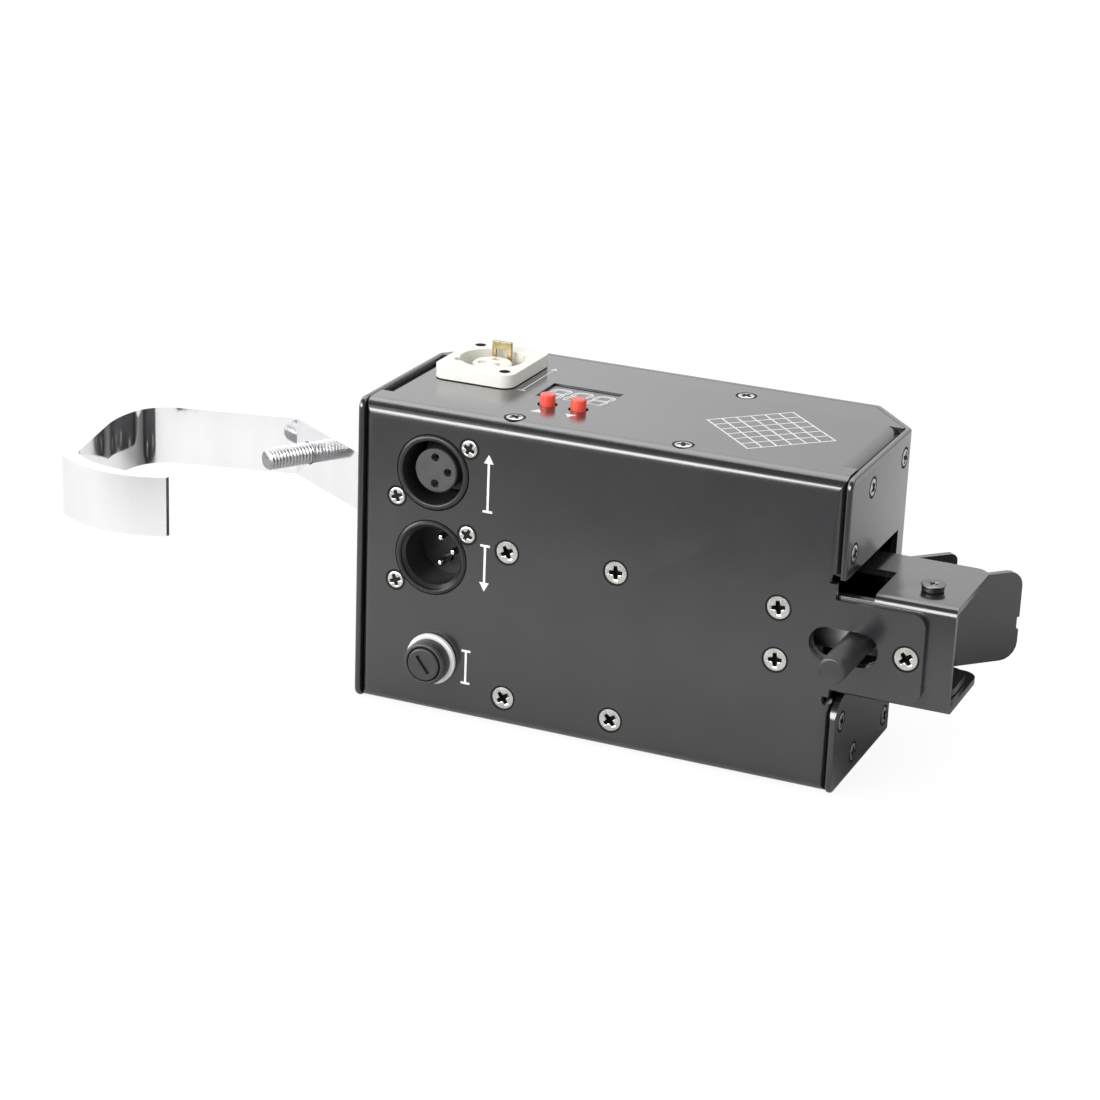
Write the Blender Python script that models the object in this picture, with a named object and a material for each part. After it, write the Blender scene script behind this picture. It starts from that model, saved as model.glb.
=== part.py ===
"""Curtain drop machine: a bent-steel box that hangs from a pipe and lets a curtain's ring go.

The box lies with its control panel up. +X runs along it from the hook clamp to the release jaw,
+Y from the connector panel to the rear, +Z up. The origin is the middle of its bottom face.
"""
import math

import bmesh
import bpy
from mathutils import Matrix, Vector

for old in list(bpy.data.objects):
    bpy.data.objects.remove(old, do_unlink=True)

MM = 0.001

# Housing, in metres
HOUSING_LENGTH = 159.0 * MM
HOUSING_DEPTH = 75.2 * MM
HOUSING_HEIGHT = 99.2 * MM
SHEET = 2.0 * MM
BEND = 2.5 * MM
SLANT_X = 15.5 * MM
SLANT_Y = 17.8 * MM
RETURN_FLANGE = 12.0 * MM
SEAM = 0.4 * MM
GAP = 0.3 * MM

# Release end
LATCH_HEIGHT = 48.1 * MM
WINDOW_BELOW, WINDOW_ABOVE = 18.1 * MM, 20.5 * MM
WINDOW_DEPTH = 50.6 * MM
WINDOW_CORNER = 7.0 * MM
BRACKET_REACH = 33.0 * MM
BRACKET_INSIDE = 114.0 * MM
BRACKET_DEPTH, LOWER_DEPTH = 39.6 * MM, 35.0 * MM
BRACKET_BELOW, BRACKET_ABOVE = 16.4 * MM, 16.9 * MM
TAB_REACH = 24.8 * MM
TAB_BELOW, TAB_ABOVE = 14.0 * MM, 14.1 * MM
SLOT_LENGTH, SLOT_HEIGHT = 21.3 * MM, 10.8 * MM
SLOT_CENTRE = 0.65 * MM
PIVOT_REACH = 22.1 * MM
PIVOT_RADIUS = 2.5 * MM
JAW_ANGLE = math.radians(46.0)
JAW_PLAY = 0.4 * MM
PRONG_OFFSET = 13.3 * MM
THROAT = 17.2 * MM
OUTER_PRONG, INNER_PRONG = 38.4 * MM, 26.8 * MM
PRONG_ROOT = 10.4 * MM
HUB_RADIUS = 9.3 * MM
HUB_PLAY = 1.0 * MM
PIVOT_DEPTH = 2 * SHEET + GAP + HUB_PLAY + HUB_RADIUS
LATCH_DEPTH = PIVOT_DEPTH + 2.6 * MM
CAM_RADIUS, CAM_THICKNESS = 8.0 * MM, 8.0 * MM
NOTCH_WIDTH, NOTCH_DEPTH = 3.2 * MM, 2.9 * MM
JAW_SWING = math.radians(44.0)
ROD_RADIUS = 4.25 * MM
ROD_REACH = 19.6 * MM
ROD_PLACE = 3.5 * MM
ROD_TAIL = 0.5 * MM
LATCH_BACK_TRAVEL, LATCH_FORE_TRAVEL = 7.9 * MM, 2.3 * MM
LATCH_WIDTH, LATCH_HIGH = 9.6 * MM, 12.0 * MM
LATCH_LENGTH = 46.0 * MM
NOSE_WIDTH = 2.4 * MM
PLUNGER_RADIUS = 3.5 * MM
SPRING_WIRE = 0.7 * MM
SPRING_TURNS = 9

# Clamp
HOOK_WIDTH = 20.0 * MM
HOOK_HEIGHT = 49.6 * MM
FOOT_THICKNESS = 7.0 * MM
FOOT_CENTRE = 34.0 * MM
HOOK_START = 48.5 * MM
CLAMP_BOLT_RADIUS = 3.7 * MM
CLAMP_BOLT_LENGTH = 45.0 * MM
CLAMP_BOLT_INSIDE = 16.5 * MM
CLAMP_BOLT_ALONG = 61.1 * MM
FOOT_BOLT_RADIUS = 3.9 * MM

# Panels
XLR_PLACE = 25.9 * MM
XLR_HEIGHTS = {"out": 79.4 * MM, "in": 51.8 * MM}
XLR_HOLE = 12.2 * MM
PIN_DEPTH = 6.7 * MM
FUSE_PLACE, FUSE_HEIGHT = 27.3 * MM, 18.8 * MM
FUSE_HOLE = 6.4 * MM
OUTLET_PLACE, OUTLET_DEPTH = 23.7 * MM, 46.6 * MM
SOCKET_HOLE = 12.3 * MM
INLET_PLACE, INLET_HEIGHT = 34.0 * MM, 62.0 * MM
DISPLAY_PLACE, DISPLAY_DEPTH = 57.7 * MM, 37.5 * MM
DISPLAY_LENGTH, DISPLAY_WIDTH = 23.5 * MM, 15.0 * MM
BUTTON_PLACES = (53.0 * MM, 63.3 * MM)
BUTTON_DEPTH = 23.4 * MM
BUTTON_HOLE = 3.15 * MM
BUTTON_RADIUS = 2.45 * MM
BUTTON_TRAVEL = 0.8 * MM

# Machine screws, M4 countersunk
SCREW_HEAD, SCREW_SHANK = 3.65 * MM, 1.95 * MM
SCREW_HOLE = 2.3 * MM

LEFT, RIGHT = -HOUSING_LENGTH / 2, HOUSING_LENGTH / 2
FRONT, REAR = -HOUSING_DEPTH / 2, HOUSING_DEPTH / 2
BRACKET_FACE = FRONT + SHEET + GAP
PIVOT = Vector((RIGHT + PIVOT_REACH, FRONT + PIVOT_DEPTH, 0))
LATCH_Y = FRONT + LATCH_DEPTH
BRACKET_LOW = LATCH_HEIGHT - BRACKET_BELOW
BRACKET_HIGH = LATCH_HEIGHT + BRACKET_ABOVE
ROD_X = RIGHT + ROD_PLACE
X_AXIS, Y_AXIS, Z_AXIS = Vector((1, 0, 0)), Vector((0, 1, 0)), Vector((0, 0, 1))


def material(name, colour, roughness, metallic=0.0):
    """A plain finish with the real surface's colour, roughness and metal."""
    made = bpy.data.materials.new(name)
    made.use_nodes = True
    shader = made.node_tree.nodes["Principled BSDF"]
    shader.inputs["Base Color"].default_value = (*colour, 1)
    shader.inputs["Roughness"].default_value = roughness
    shader.inputs["Metallic"].default_value = metallic
    made.diffuse_color = (*colour, 1)
    return made


BLACK_COAT = material("black_coat", (0.045, 0.045, 0.048), 0.5)
NICKEL = material("nickel", (0.62, 0.62, 0.6), 0.3, 1.0)
STEEL = material("steel", (0.42, 0.42, 0.43), 0.35, 1.0)
ALUMINIUM = material("aluminium", (0.86, 0.86, 0.87), 0.18, 1.0)
BLACK_METAL = material("black_metal", (0.03, 0.03, 0.032), 0.3, 0.6)
BLACK_PLASTIC = material("black_plastic", (0.025, 0.025, 0.027), 0.4)
IVORY_PLASTIC = material("ivory_plastic", (0.8, 0.79, 0.7), 0.4)
BLUE_PLASTIC = material("blue_plastic", (0.03, 0.16, 0.5), 0.4)
RED_PLASTIC = material("red_plastic", (0.8, 0.06, 0.03), 0.35)
WHITE_PLASTIC = material("white_plastic", (0.85, 0.85, 0.83), 0.45)
DISPLAY_FACE = material("display_face", (0.2, 0.2, 0.21), 0.25)
SILVER = material("silver", (0.85, 0.85, 0.83), 0.2, 1.0)
BRASS = material("brass", (0.5, 0.42, 0.22), 0.35, 1.0)
COPPER = material("copper_winding", (0.45, 0.2, 0.09), 0.4, 0.6)
BOARD = material("board", (0.02, 0.16, 0.07), 0.5)
CLEAR_GLASS = material("clear_glass", (0.7, 0.75, 0.76), 0.08)


def grown(mesh, name, finish, origin=(0, 0, 0)):
    """An object from a mesh built in world places, with its own origin."""
    bmesh.ops.remove_doubles(mesh, verts=mesh.verts, dist=1e-7)
    bmesh.ops.recalc_face_normals(mesh, faces=mesh.faces)
    mesh.transform(Matrix.Translation(-Vector(origin)))
    data = bpy.data.meshes.new(name)
    mesh.to_mesh(data)
    mesh.free()
    data.shade_smooth()
    data.set_sharp_from_angle(angle=math.radians(35))
    made = bpy.data.objects.new(name, data)
    made.location = origin
    bpy.context.collection.objects.link(made)
    if finish:
        data.materials.append(finish)
    return made


def boolean(target, mesh, operation):
    """Cuts a mesh out of an object, or joins it on, with a hidden helper."""
    helper = grown(mesh, f"{target.name}_helper", None)
    helper.hide_render = True
    helper.display_type = "WIRE"
    step = target.modifiers.new(operation.title(), "BOOLEAN")
    step.operation = operation
    step.object = helper
    return target


def cut(target, *meshes):
    """Takes each mesh out of the object."""
    for mesh in meshes:
        boolean(target, mesh, "DIFFERENCE")
    return target


def join(target, *meshes):
    """Adds each mesh to the object as one body."""
    for mesh in meshes:
        boolean(target, mesh, "UNION")
    return target


def place(along, point, height):
    """A world point from a flat outline's point and a height along the axis X, Y or Z."""
    u, v = point
    return {"X": (height, u, v), "Y": (u, height, v), "Z": (u, v, height)}[along]


def prism(outline, low, high, along="Z"):
    """A closed outline pushed from low to high along an axis."""
    mesh = bmesh.new()
    ends = [[mesh.verts.new(place(along, p, h)) for p in outline] for h in (low, high)]
    count = len(outline)
    mesh.faces.new(ends[0])
    mesh.faces.new(ends[1])
    for i in range(count):
        j = (i + 1) % count
        mesh.faces.new((ends[0][i], ends[0][j], ends[1][j], ends[1][i]))
    bmesh.ops.recalc_face_normals(mesh, faces=mesh.faces)
    return mesh


def block(low, high):
    """A box between two corners."""
    (x0, y0, z0), (x1, y1, z1) = low, high
    return prism([(x0, y0), (x1, y0), (x1, y1), (x0, y1)], z0, z1)


def rounded(points, radii, closed=True, step=math.radians(18)):
    """Outline points with each corner replaced by an arc of its own radius."""
    result = []
    count = len(points)
    for i, (corner, radius) in enumerate(zip(points, radii)):
        corner = Vector(corner)
        if radius <= 0 or (not closed and i in (0, count - 1)):
            result.append(corner)
            continue
        back = (Vector(points[i - 1]) - corner).normalized()
        ahead = (Vector(points[(i + 1) % count]) - corner).normalized()
        half = back.angle(ahead) / 2
        centre = corner + (back + ahead).normalized() * radius / math.sin(half)
        start = corner + back * radius / math.tan(half) - centre
        sweep = math.pi - 2 * half
        if back.cross(ahead) > 0:
            sweep = -sweep
        pieces = max(2, round(abs(sweep) / step))
        for k in range(pieces + 1):
            turn = Matrix.Rotation(sweep * k / pieces, 2)
            result.append(centre + turn @ start)
    return result


def circle(centre, radius, segments=24, start=0.0):
    """Outline of a circle."""
    cu, cv = centre
    turns = [start + 2 * math.pi * k / segments for k in range(segments)]
    return [(cu + radius * math.cos(a), cv + radius * math.sin(a)) for a in turns]


def slot(centre, length, width):
    """Outline of a slot with round ends, long in the first direction."""
    cu, cv = centre
    half, radius = length / 2, width / 2
    box = [(cu - half, cv - radius), (cu + half, cv - radius), (cu + half, cv + radius), (cu - half, cv + radius)]
    return rounded(box, [radius * 0.999] * 4)


def turned(profile, foot, direction, segments=24, ring=False, start=0.0):
    """A profile of (radius, height) pairs turned about a line; ring closes it on itself."""
    mesh = bmesh.new()
    frame = Vector(direction).normalized().to_track_quat("Z", "Y").to_matrix().to_4x4()
    frame.translation = foot
    loops = []
    for radius, height in profile:
        if radius == 0:
            loops.append([mesh.verts.new(frame @ Vector((0, 0, height)))])
            continue
        turns = [start + 2 * math.pi * k / segments for k in range(segments)]
        loops.append([mesh.verts.new(frame @ Vector((radius * math.cos(a), radius * math.sin(a), height)))
                      for a in turns])
    pairs = list(zip(loops, loops[1:]))
    if ring:
        pairs.append((loops[-1], loops[0]))
    for low, high in pairs:
        for k in range(segments):
            j = (k + 1) % segments
            corners = [low[k % len(low)], low[j % len(low)], high[j % len(high)], high[k % len(high)]]
            unique = list(dict.fromkeys(corners))
            if len(unique) > 2:
                mesh.faces.new(unique)
    if not ring:
        for end in (loops[0], loops[-1]):
            if len(end) > 1:
                mesh.faces.new(end)
    bmesh.ops.recalc_face_normals(mesh, faces=mesh.faces)
    return mesh


def rod(foot, direction, radius, length, segments=24):
    """A plain round bar."""
    return turned([(radius, 0), (radius, length)], foot, direction, segments)


def hexagon(foot, direction, across, length):
    """A hexagon bar, measured across its flats."""
    return rod(foot, direction, across / math.sqrt(3), length, 6)


def inset(points, distances):
    """A convex outline, listed anticlockwise, with each edge moved inwards by its own distance."""
    lines = []
    count = len(points)
    for i in range(count):
        a, b = Vector(points[i]), Vector(points[(i + 1) % count])
        run = (b - a).normalized()
        lines.append((a + Vector((-run.y, run.x)) * distances[i], run))
    result = []
    for i in range(count):
        (p, u), (q, v) = lines[i - 1], lines[i]
        along = (q - p).cross(v) / u.cross(v)
        result.append(p + u * along)
    return result


def housing_plan():
    """Outline of the box seen from above, anticlockwise from its front left corner."""
    return [(LEFT, FRONT), (RIGHT, FRONT), (RIGHT, REAR - SLANT_Y), (RIGHT - SLANT_X, REAR),
            (LEFT + SLANT_X, REAR), (LEFT, REAR - SLANT_Y)]


def countersink(x, z):
    """Cutter for a countersunk M4 hole in the front panel."""
    mouth = SCREW_HEAD + 0.35 * MM
    rim = 0.3 * MM
    depth = rim + mouth - SCREW_HOLE
    profile = [(mouth, -1.0 * MM), (mouth, rim), (SCREW_HOLE, depth), (SCREW_HOLE, 12.0 * MM)]
    return turned(profile, (x, FRONT, z), Y_AXIS, 20)


def panel_screw_places():
    """Where the six large screws go through the front panel, by name."""
    return {"panel_screw_1": (RIGHT - 107.6 * MM, LATCH_HEIGHT + 9.9 * MM),
            "panel_screw_2": (RIGHT - 71.8 * MM, LATCH_HEIGHT + 9.9 * MM),
            "panel_screw_3": (RIGHT - 20.0 * MM, LATCH_HEIGHT + 8.5 * MM),
            "panel_screw_4": (RIGHT - 20.0 * MM, LATCH_HEIGHT - 8.0 * MM),
            "panel_screw_5": (RIGHT - 107.4 * MM, 10.0 * MM),
            "panel_screw_6": (RIGHT - 71.5 * MM, 10.0 * MM)}


TAB_SCREW = (RIGHT + 19.7 * MM, LATCH_HEIGHT)


def front_shell():
    """Front, top and bottom panels bent from one sheet, with return flanges at both ends."""
    clear = SHEET + SEAM
    plan = inset(housing_plan(), [0, clear, clear, clear, clear, clear])
    mesh = prism(plan, 0, HOUSING_HEIGHT)
    left, right = plan[0][0], plan[1][0]
    bends = []
    for edge in mesh.edges:
        a, b = edge.verts
        on_front = all(abs(v.co.y - FRONT) < 1e-6 for v in (a, b))
        on_end = all(abs(v.co.x - left) < 1e-6 for v in (a, b)) or all(abs(v.co.x - right) < 1e-6 for v in (a, b))
        level = abs(a.co.z - b.co.z) < 1e-6
        if on_front or (on_end and level):
            bends.append(edge)
    bmesh.ops.bevel(mesh, geom=bends, offset=BEND, segments=4, profile=0.5, affect="EDGES")
    shell = grown(mesh, "front_shell", BLACK_COAT)
    slant_start = REAR - SLANT_Y - 3.0 * MM
    reach = 20.0 * MM
    inner = block((left + SHEET, FRONT + SHEET, SHEET),
                  (right - SHEET, REAR + reach, HOUSING_HEIGHT - SHEET))
    behind = block((left - reach, slant_start, SHEET), (right + reach, REAR + reach, HOUSING_HEIGHT - SHEET))
    ends = block((left - reach, FRONT + RETURN_FLANGE, RETURN_FLANGE),
                 (right + reach, REAR + reach / 2, HOUSING_HEIGHT - RETURN_FLANGE))
    cut(shell, inner, behind, ends)

    window_low = LATCH_HEIGHT - WINDOW_BELOW
    window_high = LATCH_HEIGHT + WINDOW_ABOVE
    throat = block((right - BEND - 0.6 * MM, FRONT - reach, window_low), (right + reach, REAR, window_high))
    cut(shell, throat)
    tab_low, tab_high = LATCH_HEIGHT - TAB_BELOW, LATCH_HEIGHT + TAB_ABOVE
    corner = 4.0 * MM
    tab = rounded([(right - 10.0 * MM, tab_low), (RIGHT + TAB_REACH, tab_low), (RIGHT + TAB_REACH, tab_high),
                   (right - 10.0 * MM, tab_high)], [0, corner, corner, 0])
    relief = 1.5 * MM
    flat_edge = block((right - 9.0 * MM, FRONT, window_low + relief), (right - GAP, FRONT + SHEET, window_high - relief))
    join(shell, prism(tab, FRONT, FRONT + SHEET, "Y"), flat_edge)

    for name, height in XLR_HEIGHTS.items():
        cut(shell, rod((LEFT + XLR_PLACE, FRONT - reach, height), Y_AXIS, XLR_HOLE, 2 * reach, 32))
    cut(shell, rod((LEFT + FUSE_PLACE, FRONT - reach, FUSE_HEIGHT), Y_AXIS, FUSE_HOLE, 2 * reach, 24))
    for x, z in [*panel_screw_places().values(), TAB_SCREW]:
        cut(shell, countersink(x, z))
    slot_hole = slot((RIGHT + SLOT_CENTRE, LATCH_HEIGHT), SLOT_LENGTH, SLOT_HEIGHT)
    cut(shell, prism(slot_hole, FRONT - reach, FRONT + reach / 2, "Y"))
    for height in (window_low, window_high):
        cut(shell, rod((right - GAP, FRONT - reach, height), Y_AXIS, relief, reach + 5.0 * MM, 12))

    top = HOUSING_HEIGHT
    display = [(LEFT + DISPLAY_PLACE + i * DISPLAY_LENGTH / 2, FRONT + DISPLAY_DEPTH + j * DISPLAY_WIDTH / 2)
               for i, j in ((-1, -1), (1, -1), (1, 1), (-1, 1))]
    cut(shell, prism(display, top - reach, top + reach))
    outlet = (LEFT + OUTLET_PLACE, FRONT + OUTLET_DEPTH, top - reach / 2)
    cut(shell, rod(outlet, Z_AXIS, SOCKET_HOLE, reach, 32))
    for x in BUTTON_PLACES:
        cut(shell, rod((LEFT + x, FRONT + BUTTON_DEPTH, top - reach / 2), Z_AXIS, BUTTON_HOLE, reach, 16))
    return shell


def wrap_cover():
    """Both ends, the rear and the two slants, bent from one strip, with the release window."""
    outer = housing_plan()
    inner = inset(outer, [0, SHEET, SHEET, SHEET, SHEET, SHEET])
    path_out = [outer[i] for i in (1, 2, 3, 4, 5, 0)]
    path_in = [inner[i] for i in (1, 2, 3, 4, 5, 0)]
    bend_in = 0.5 * MM
    outline = (rounded(path_out, [0, BEND, BEND, BEND, BEND, 0], closed=False)
               + rounded(path_in, [0, bend_in, bend_in, bend_in, bend_in, 0], closed=False)[::-1])
    cover = grown(prism(outline, 0, HOUSING_HEIGHT), "wrap_cover", BLACK_COAT)
    low, high = LATCH_HEIGHT - WINDOW_BELOW, LATCH_HEIGHT + WINDOW_ABOVE
    out = FRONT - 5.0 * MM
    back = FRONT + WINDOW_DEPTH
    fine = 1.0 * MM
    window = rounded([(out, high), (back, high), (back, low), (FRONT + WINDOW_CORNER, low)], [0, fine, fine, 0])
    arc = [(FRONT + WINDOW_CORNER * (1 - math.sin(a)), low - WINDOW_CORNER * (1 - math.cos(a)))
           for a in (math.radians(d) for d in (22.5, 45, 67.5, 90))]
    window += [Vector(p) for p in arc] + [Vector((out, low - WINDOW_CORNER))]
    cut(cover, prism(window, RIGHT - 2 * SHEET, RIGHT + SHEET, "X"))
    inlet = (LEFT + INLET_PLACE, REAR - 2 * SHEET, INLET_HEIGHT)
    cut(cover, rod(inlet, Y_AXIS, SOCKET_HOLE, 4 * SHEET, 32))
    foot = (LEFT - SHEET, FRONT + FOOT_CENTRE, HOOK_HEIGHT)
    cut(cover, rod(foot, X_AXIS, FOOT_BOLT_RADIUS + GAP, 4 * SHEET, 20))
    vent_pitch, vent_width, vent_high = 7.0 * MM, 3.0 * MM, 14.0 * MM
    for k in range(5):
        x = RIGHT - 21.5 * MM - k * vent_pitch
        vent = [(z, x) for x, z in slot((42.0 * MM, x), vent_high, vent_width)]
        cut(cover, prism(vent, REAR - 2 * SHEET, REAR + SHEET, "Y"))
    return cover


def release_bracket():
    """U channel behind the tab: its web runs on inside the box and carries the solenoid."""
    left = RIGHT - BRACKET_INSIDE
    right = RIGHT + BRACKET_REACH
    front = BRACKET_FACE
    web_back = front + SHEET
    back = FRONT + BRACKET_DEPTH
    low, high = BRACKET_LOW, BRACKET_HIGH
    bend_out, bend_in = 2.8 * MM, 0.8 * MM
    outer = rounded([(back, low), (front, low), (front, high), (back, high)], [0, bend_out, bend_out, 0], closed=False)
    inner = rounded([(back, low + SHEET), (web_back, low + SHEET), (web_back, high - SHEET), (back, high - SHEET)],
                    [0, bend_in, bend_in, 0], closed=False)
    bracket = grown(prism(outer + inner[::-1], left, right, "X"), "release_bracket", BLACK_COAT)
    reach = 10.0 * MM
    flange_start = RIGHT - 27.0 * MM
    cut(bracket, block((left - reach, web_back, low - reach), (flange_start, back + reach, high + reach)))
    lower_back = FRONT + LOWER_DEPTH
    for edge, corner, start, end in ((back, 4.8 * MM, LATCH_HEIGHT, high + reach),
                                     (lower_back, 5.0 * MM, low - reach, LATCH_HEIGHT)):
        turn = rounded([(right, web_back), (right, edge), (flange_start - reach, edge)], [0, corner, 0], closed=False)
        outside = [Vector((flange_start - reach, back + reach)), Vector((right + reach, back + reach)),
                   Vector((right + reach, web_back))]
        cut(bracket, prism(turn + outside, start, end))
    notch_right = RIGHT + 8.3 * MM
    notch_back = FRONT + 24.0 * MM
    cut(bracket, block((left - reach, front - reach, high - SHEET), (notch_right, notch_back, high + reach)))
    slot_hole = slot((RIGHT + SLOT_CENTRE, LATCH_HEIGHT), SLOT_LENGTH, SLOT_HEIGHT)
    cut(bracket, prism(slot_hole, front - reach, web_back + reach / 2, "Y"))
    names = ("panel_screw_1", "panel_screw_2", "panel_screw_3", "panel_screw_4")
    holes = [panel_screw_places()[name] for name in names] + [TAB_SCREW]
    for x, z in holes:
        cut(bracket, rod((x, front - reach, z), Y_AXIS, SCREW_HOLE, 2 * reach, 16))
    cut(bracket, rod((PIVOT.x, PIVOT.y, low - reach), Z_AXIS, PIVOT_RADIUS + GAP, high - low + 2 * reach, 16))
    return bracket


def jaw_point(along, aside):
    """World X and Y from a place along the prongs and aside from the pivot."""
    turn = Matrix.Rotation(JAW_ANGLE, 2)
    return Vector((PIVOT.x, PIVOT.y)) + turn @ Vector((along, aside))


def jaw_levels():
    """Lowest and highest level of the jaw between the bracket's flanges."""
    return BRACKET_LOW + SHEET + JAW_PLAY, BRACKET_HIGH - SHEET - JAW_PLAY


def prong(aside, start, end, corners):
    """A jaw plate standing on its edge, drawn as (along, height) and set aside from the pivot."""
    low, high = jaw_levels()
    outline = rounded([(start, low), (end, low), (end, high), (start, high)], corners)
    mesh = bmesh.new()
    sides = []
    for offset in (aside - SHEET / 2, aside + SHEET / 2):
        sides.append([mesh.verts.new((*jaw_point(along, offset), height)) for along, height in outline])
    mesh.faces.new(sides[0])
    mesh.faces.new(sides[1])
    count = len(outline)
    for i in range(count):
        j = (i + 1) % count
        mesh.faces.new((sides[0][i], sides[0][j], sides[1][j], sides[1][i]))
    bmesh.ops.recalc_face_normals(mesh, faces=mesh.faces)
    return mesh


def jaw():
    """Fork of two arms and two prongs that holds the curtain's ring between the prongs."""
    low, high = jaw_levels()
    outer_aside = PRONG_OFFSET
    inner_aside = PRONG_OFFSET + THROAT + SHEET
    root = PRONG_ROOT
    inner_root = root - 2.5 * MM
    centre = Vector((PIVOT.x, PIVOT.y))
    hub = [centre + Vector((math.cos(a), math.sin(a))) * HUB_RADIUS
           for a in (math.radians(d) for d in range(-150, 1, 15))]
    near = outer_aside - SHEET / 2
    heel = jaw_point(root, near)
    shoulder = Vector((centre.x + HUB_RADIUS, heel.y - 0.8 * MM))
    round_off = 6.0 * MM
    outline = rounded([hub[-1], shoulder, heel, jaw_point(root, inner_aside - SHEET / 2),
                       jaw_point(root + 5.0 * MM, inner_aside - SHEET / 2)],
                      [0, round_off, 0, 3.0 * MM, 0], closed=False)
    outline = (hub + outline[1:] + [jaw_point(root + 5.0 * MM, inner_aside + SHEET / 2),
                                    jaw_point(inner_root, inner_aside + SHEET / 2)])
    plates = [prism(outline, level, level + SHEET) for level in (low, high - SHEET)]
    body = grown(plates[0], "jaw", BLACK_COAT, PIVOT + Z_AXIS * LATCH_HEIGHT)
    small, large, tip = 4.8 * MM, 5.6 * MM, 2.4 * MM
    past_latch = LATCH_Y + LATCH_WIDTH / 2 + ROD_TAIL + 0.7 * MM - PIVOT.y
    outer_plate = prong(outer_aside, past_latch, OUTER_PRONG, [0, large, small, 0])
    inner_plate = prong(inner_aside, inner_root, INNER_PRONG, [0, tip, tip, 0])
    join(body, plates[1], outer_plate, inner_plate)
    bevel = SHEET
    beyond = inner_aside + SHEET / 2
    shaving = [jaw_point(INNER_PRONG - bevel - MM, beyond + MM), jaw_point(INNER_PRONG + MM, beyond - bevel - MM),
               jaw_point(INNER_PRONG + MM, beyond + MM)]
    cut(body, prism(shaving, low - MM, high + MM))
    step = 0.8 * MM
    corner = [jaw_point(OUTER_PRONG + side, outer_aside + away)
              for side, away in ((-step, -SHEET), (step, -SHEET), (step, SHEET), (-step, SHEET))]
    cut(body, prism(corner, LATCH_HEIGHT - 4.3 * MM, LATCH_HEIGHT - 0.4 * MM))
    depth = high - low + 20.0 * MM
    cut(body, rod((PIVOT.x, PIVOT.y, low - 10.0 * MM), Z_AXIS, PIVOT_RADIUS + GAP, depth, 20))
    return body


def jaw_cam():
    """Steel disc with two locking notches, one for the open jaw and one for the closed jaw."""
    low = LATCH_HEIGHT - CAM_THICKNESS / 2
    centre = (PIVOT.x, PIVOT.y)
    body = grown(prism(circle(centre, CAM_RADIUS, 40), low, low + CAM_THICKNESS), "jaw_cam", STEEL,
                 PIVOT + Z_AXIS * LATCH_HEIGHT)
    for turn in (0.0, -JAW_SWING):
        notch = [(CAM_RADIUS - NOTCH_DEPTH, -NOTCH_WIDTH / 2), (CAM_RADIUS + NOTCH_DEPTH, -NOTCH_WIDTH / 2),
                 (CAM_RADIUS + NOTCH_DEPTH, NOTCH_WIDTH / 2), (CAM_RADIUS - NOTCH_DEPTH, NOTCH_WIDTH / 2)]
        spin = Matrix.Rotation(math.pi + turn, 2)
        points = [Vector(centre) + spin @ Vector(p) for p in notch]
        cut(body, prism(points, low - MM, low + CAM_THICKNESS + MM))
    cut(body, rod((*centre, low - MM), Z_AXIS, PIVOT_RADIUS + GAP, CAM_THICKNESS + 2 * MM, 20))
    return body


def jaw_spacers():
    """Two tubes on the pivot that hold the cam midway between the jaw's arms."""
    low, high = jaw_levels()
    half = CAM_THICKNESS / 2
    spans = {"lower_spacer": (low + SHEET + GAP, LATCH_HEIGHT - half - GAP),
             "upper_spacer": (LATCH_HEIGHT + half + GAP, high - SHEET - GAP)}
    for name, (start, end) in spans.items():
        bore, wall = PIVOT_RADIUS + GAP, 1.4 * MM
        profile = [(bore, 0), (bore + wall, 0), (bore + wall, end - start), (bore, end - start)]
        grown(turned(profile, (PIVOT.x, PIVOT.y, start), Z_AXIS, 20, ring=True), name, STEEL)


def pivot_bolt():
    """Bolt through both flanges that the jaw turns on, with its collar; the lower flange is tapped."""
    low, high = BRACKET_LOW, BRACKET_HIGH
    head, collar_high = 3.75 * MM, 1.25 * MM
    under, top = collar_high + 2 * GAP, collar_high + 2 * GAP + 0.5 * MM
    length = high - low
    profile = [(PIVOT_RADIUS, -length), (PIVOT_RADIUS, under), (head, under), (head, top - 0.2 * MM),
               (head - 0.7 * MM, top), (0, top)]
    bolt = grown(turned(profile, (PIVOT.x, PIVOT.y, high), Z_AXIS, 20), "pivot_bolt", NICKEL)
    bore = PIVOT_RADIUS + GAP
    ring = [(bore, GAP), (bore + 0.6 * MM, GAP), (bore + 0.6 * MM, GAP + collar_high), (bore, GAP + collar_high)]
    grown(turned(ring, (PIVOT.x, PIVOT.y, high), Z_AXIS, 20, ring=True), "pivot_collar", BLACK_METAL)
    drive = bmesh.new()
    cross_recess(drive, Vector((PIVOT.x, PIVOT.y, high + top)), -Z_AXIS, 1.6 * MM, 1.3 * MM)
    cut(bolt, drive)


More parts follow.
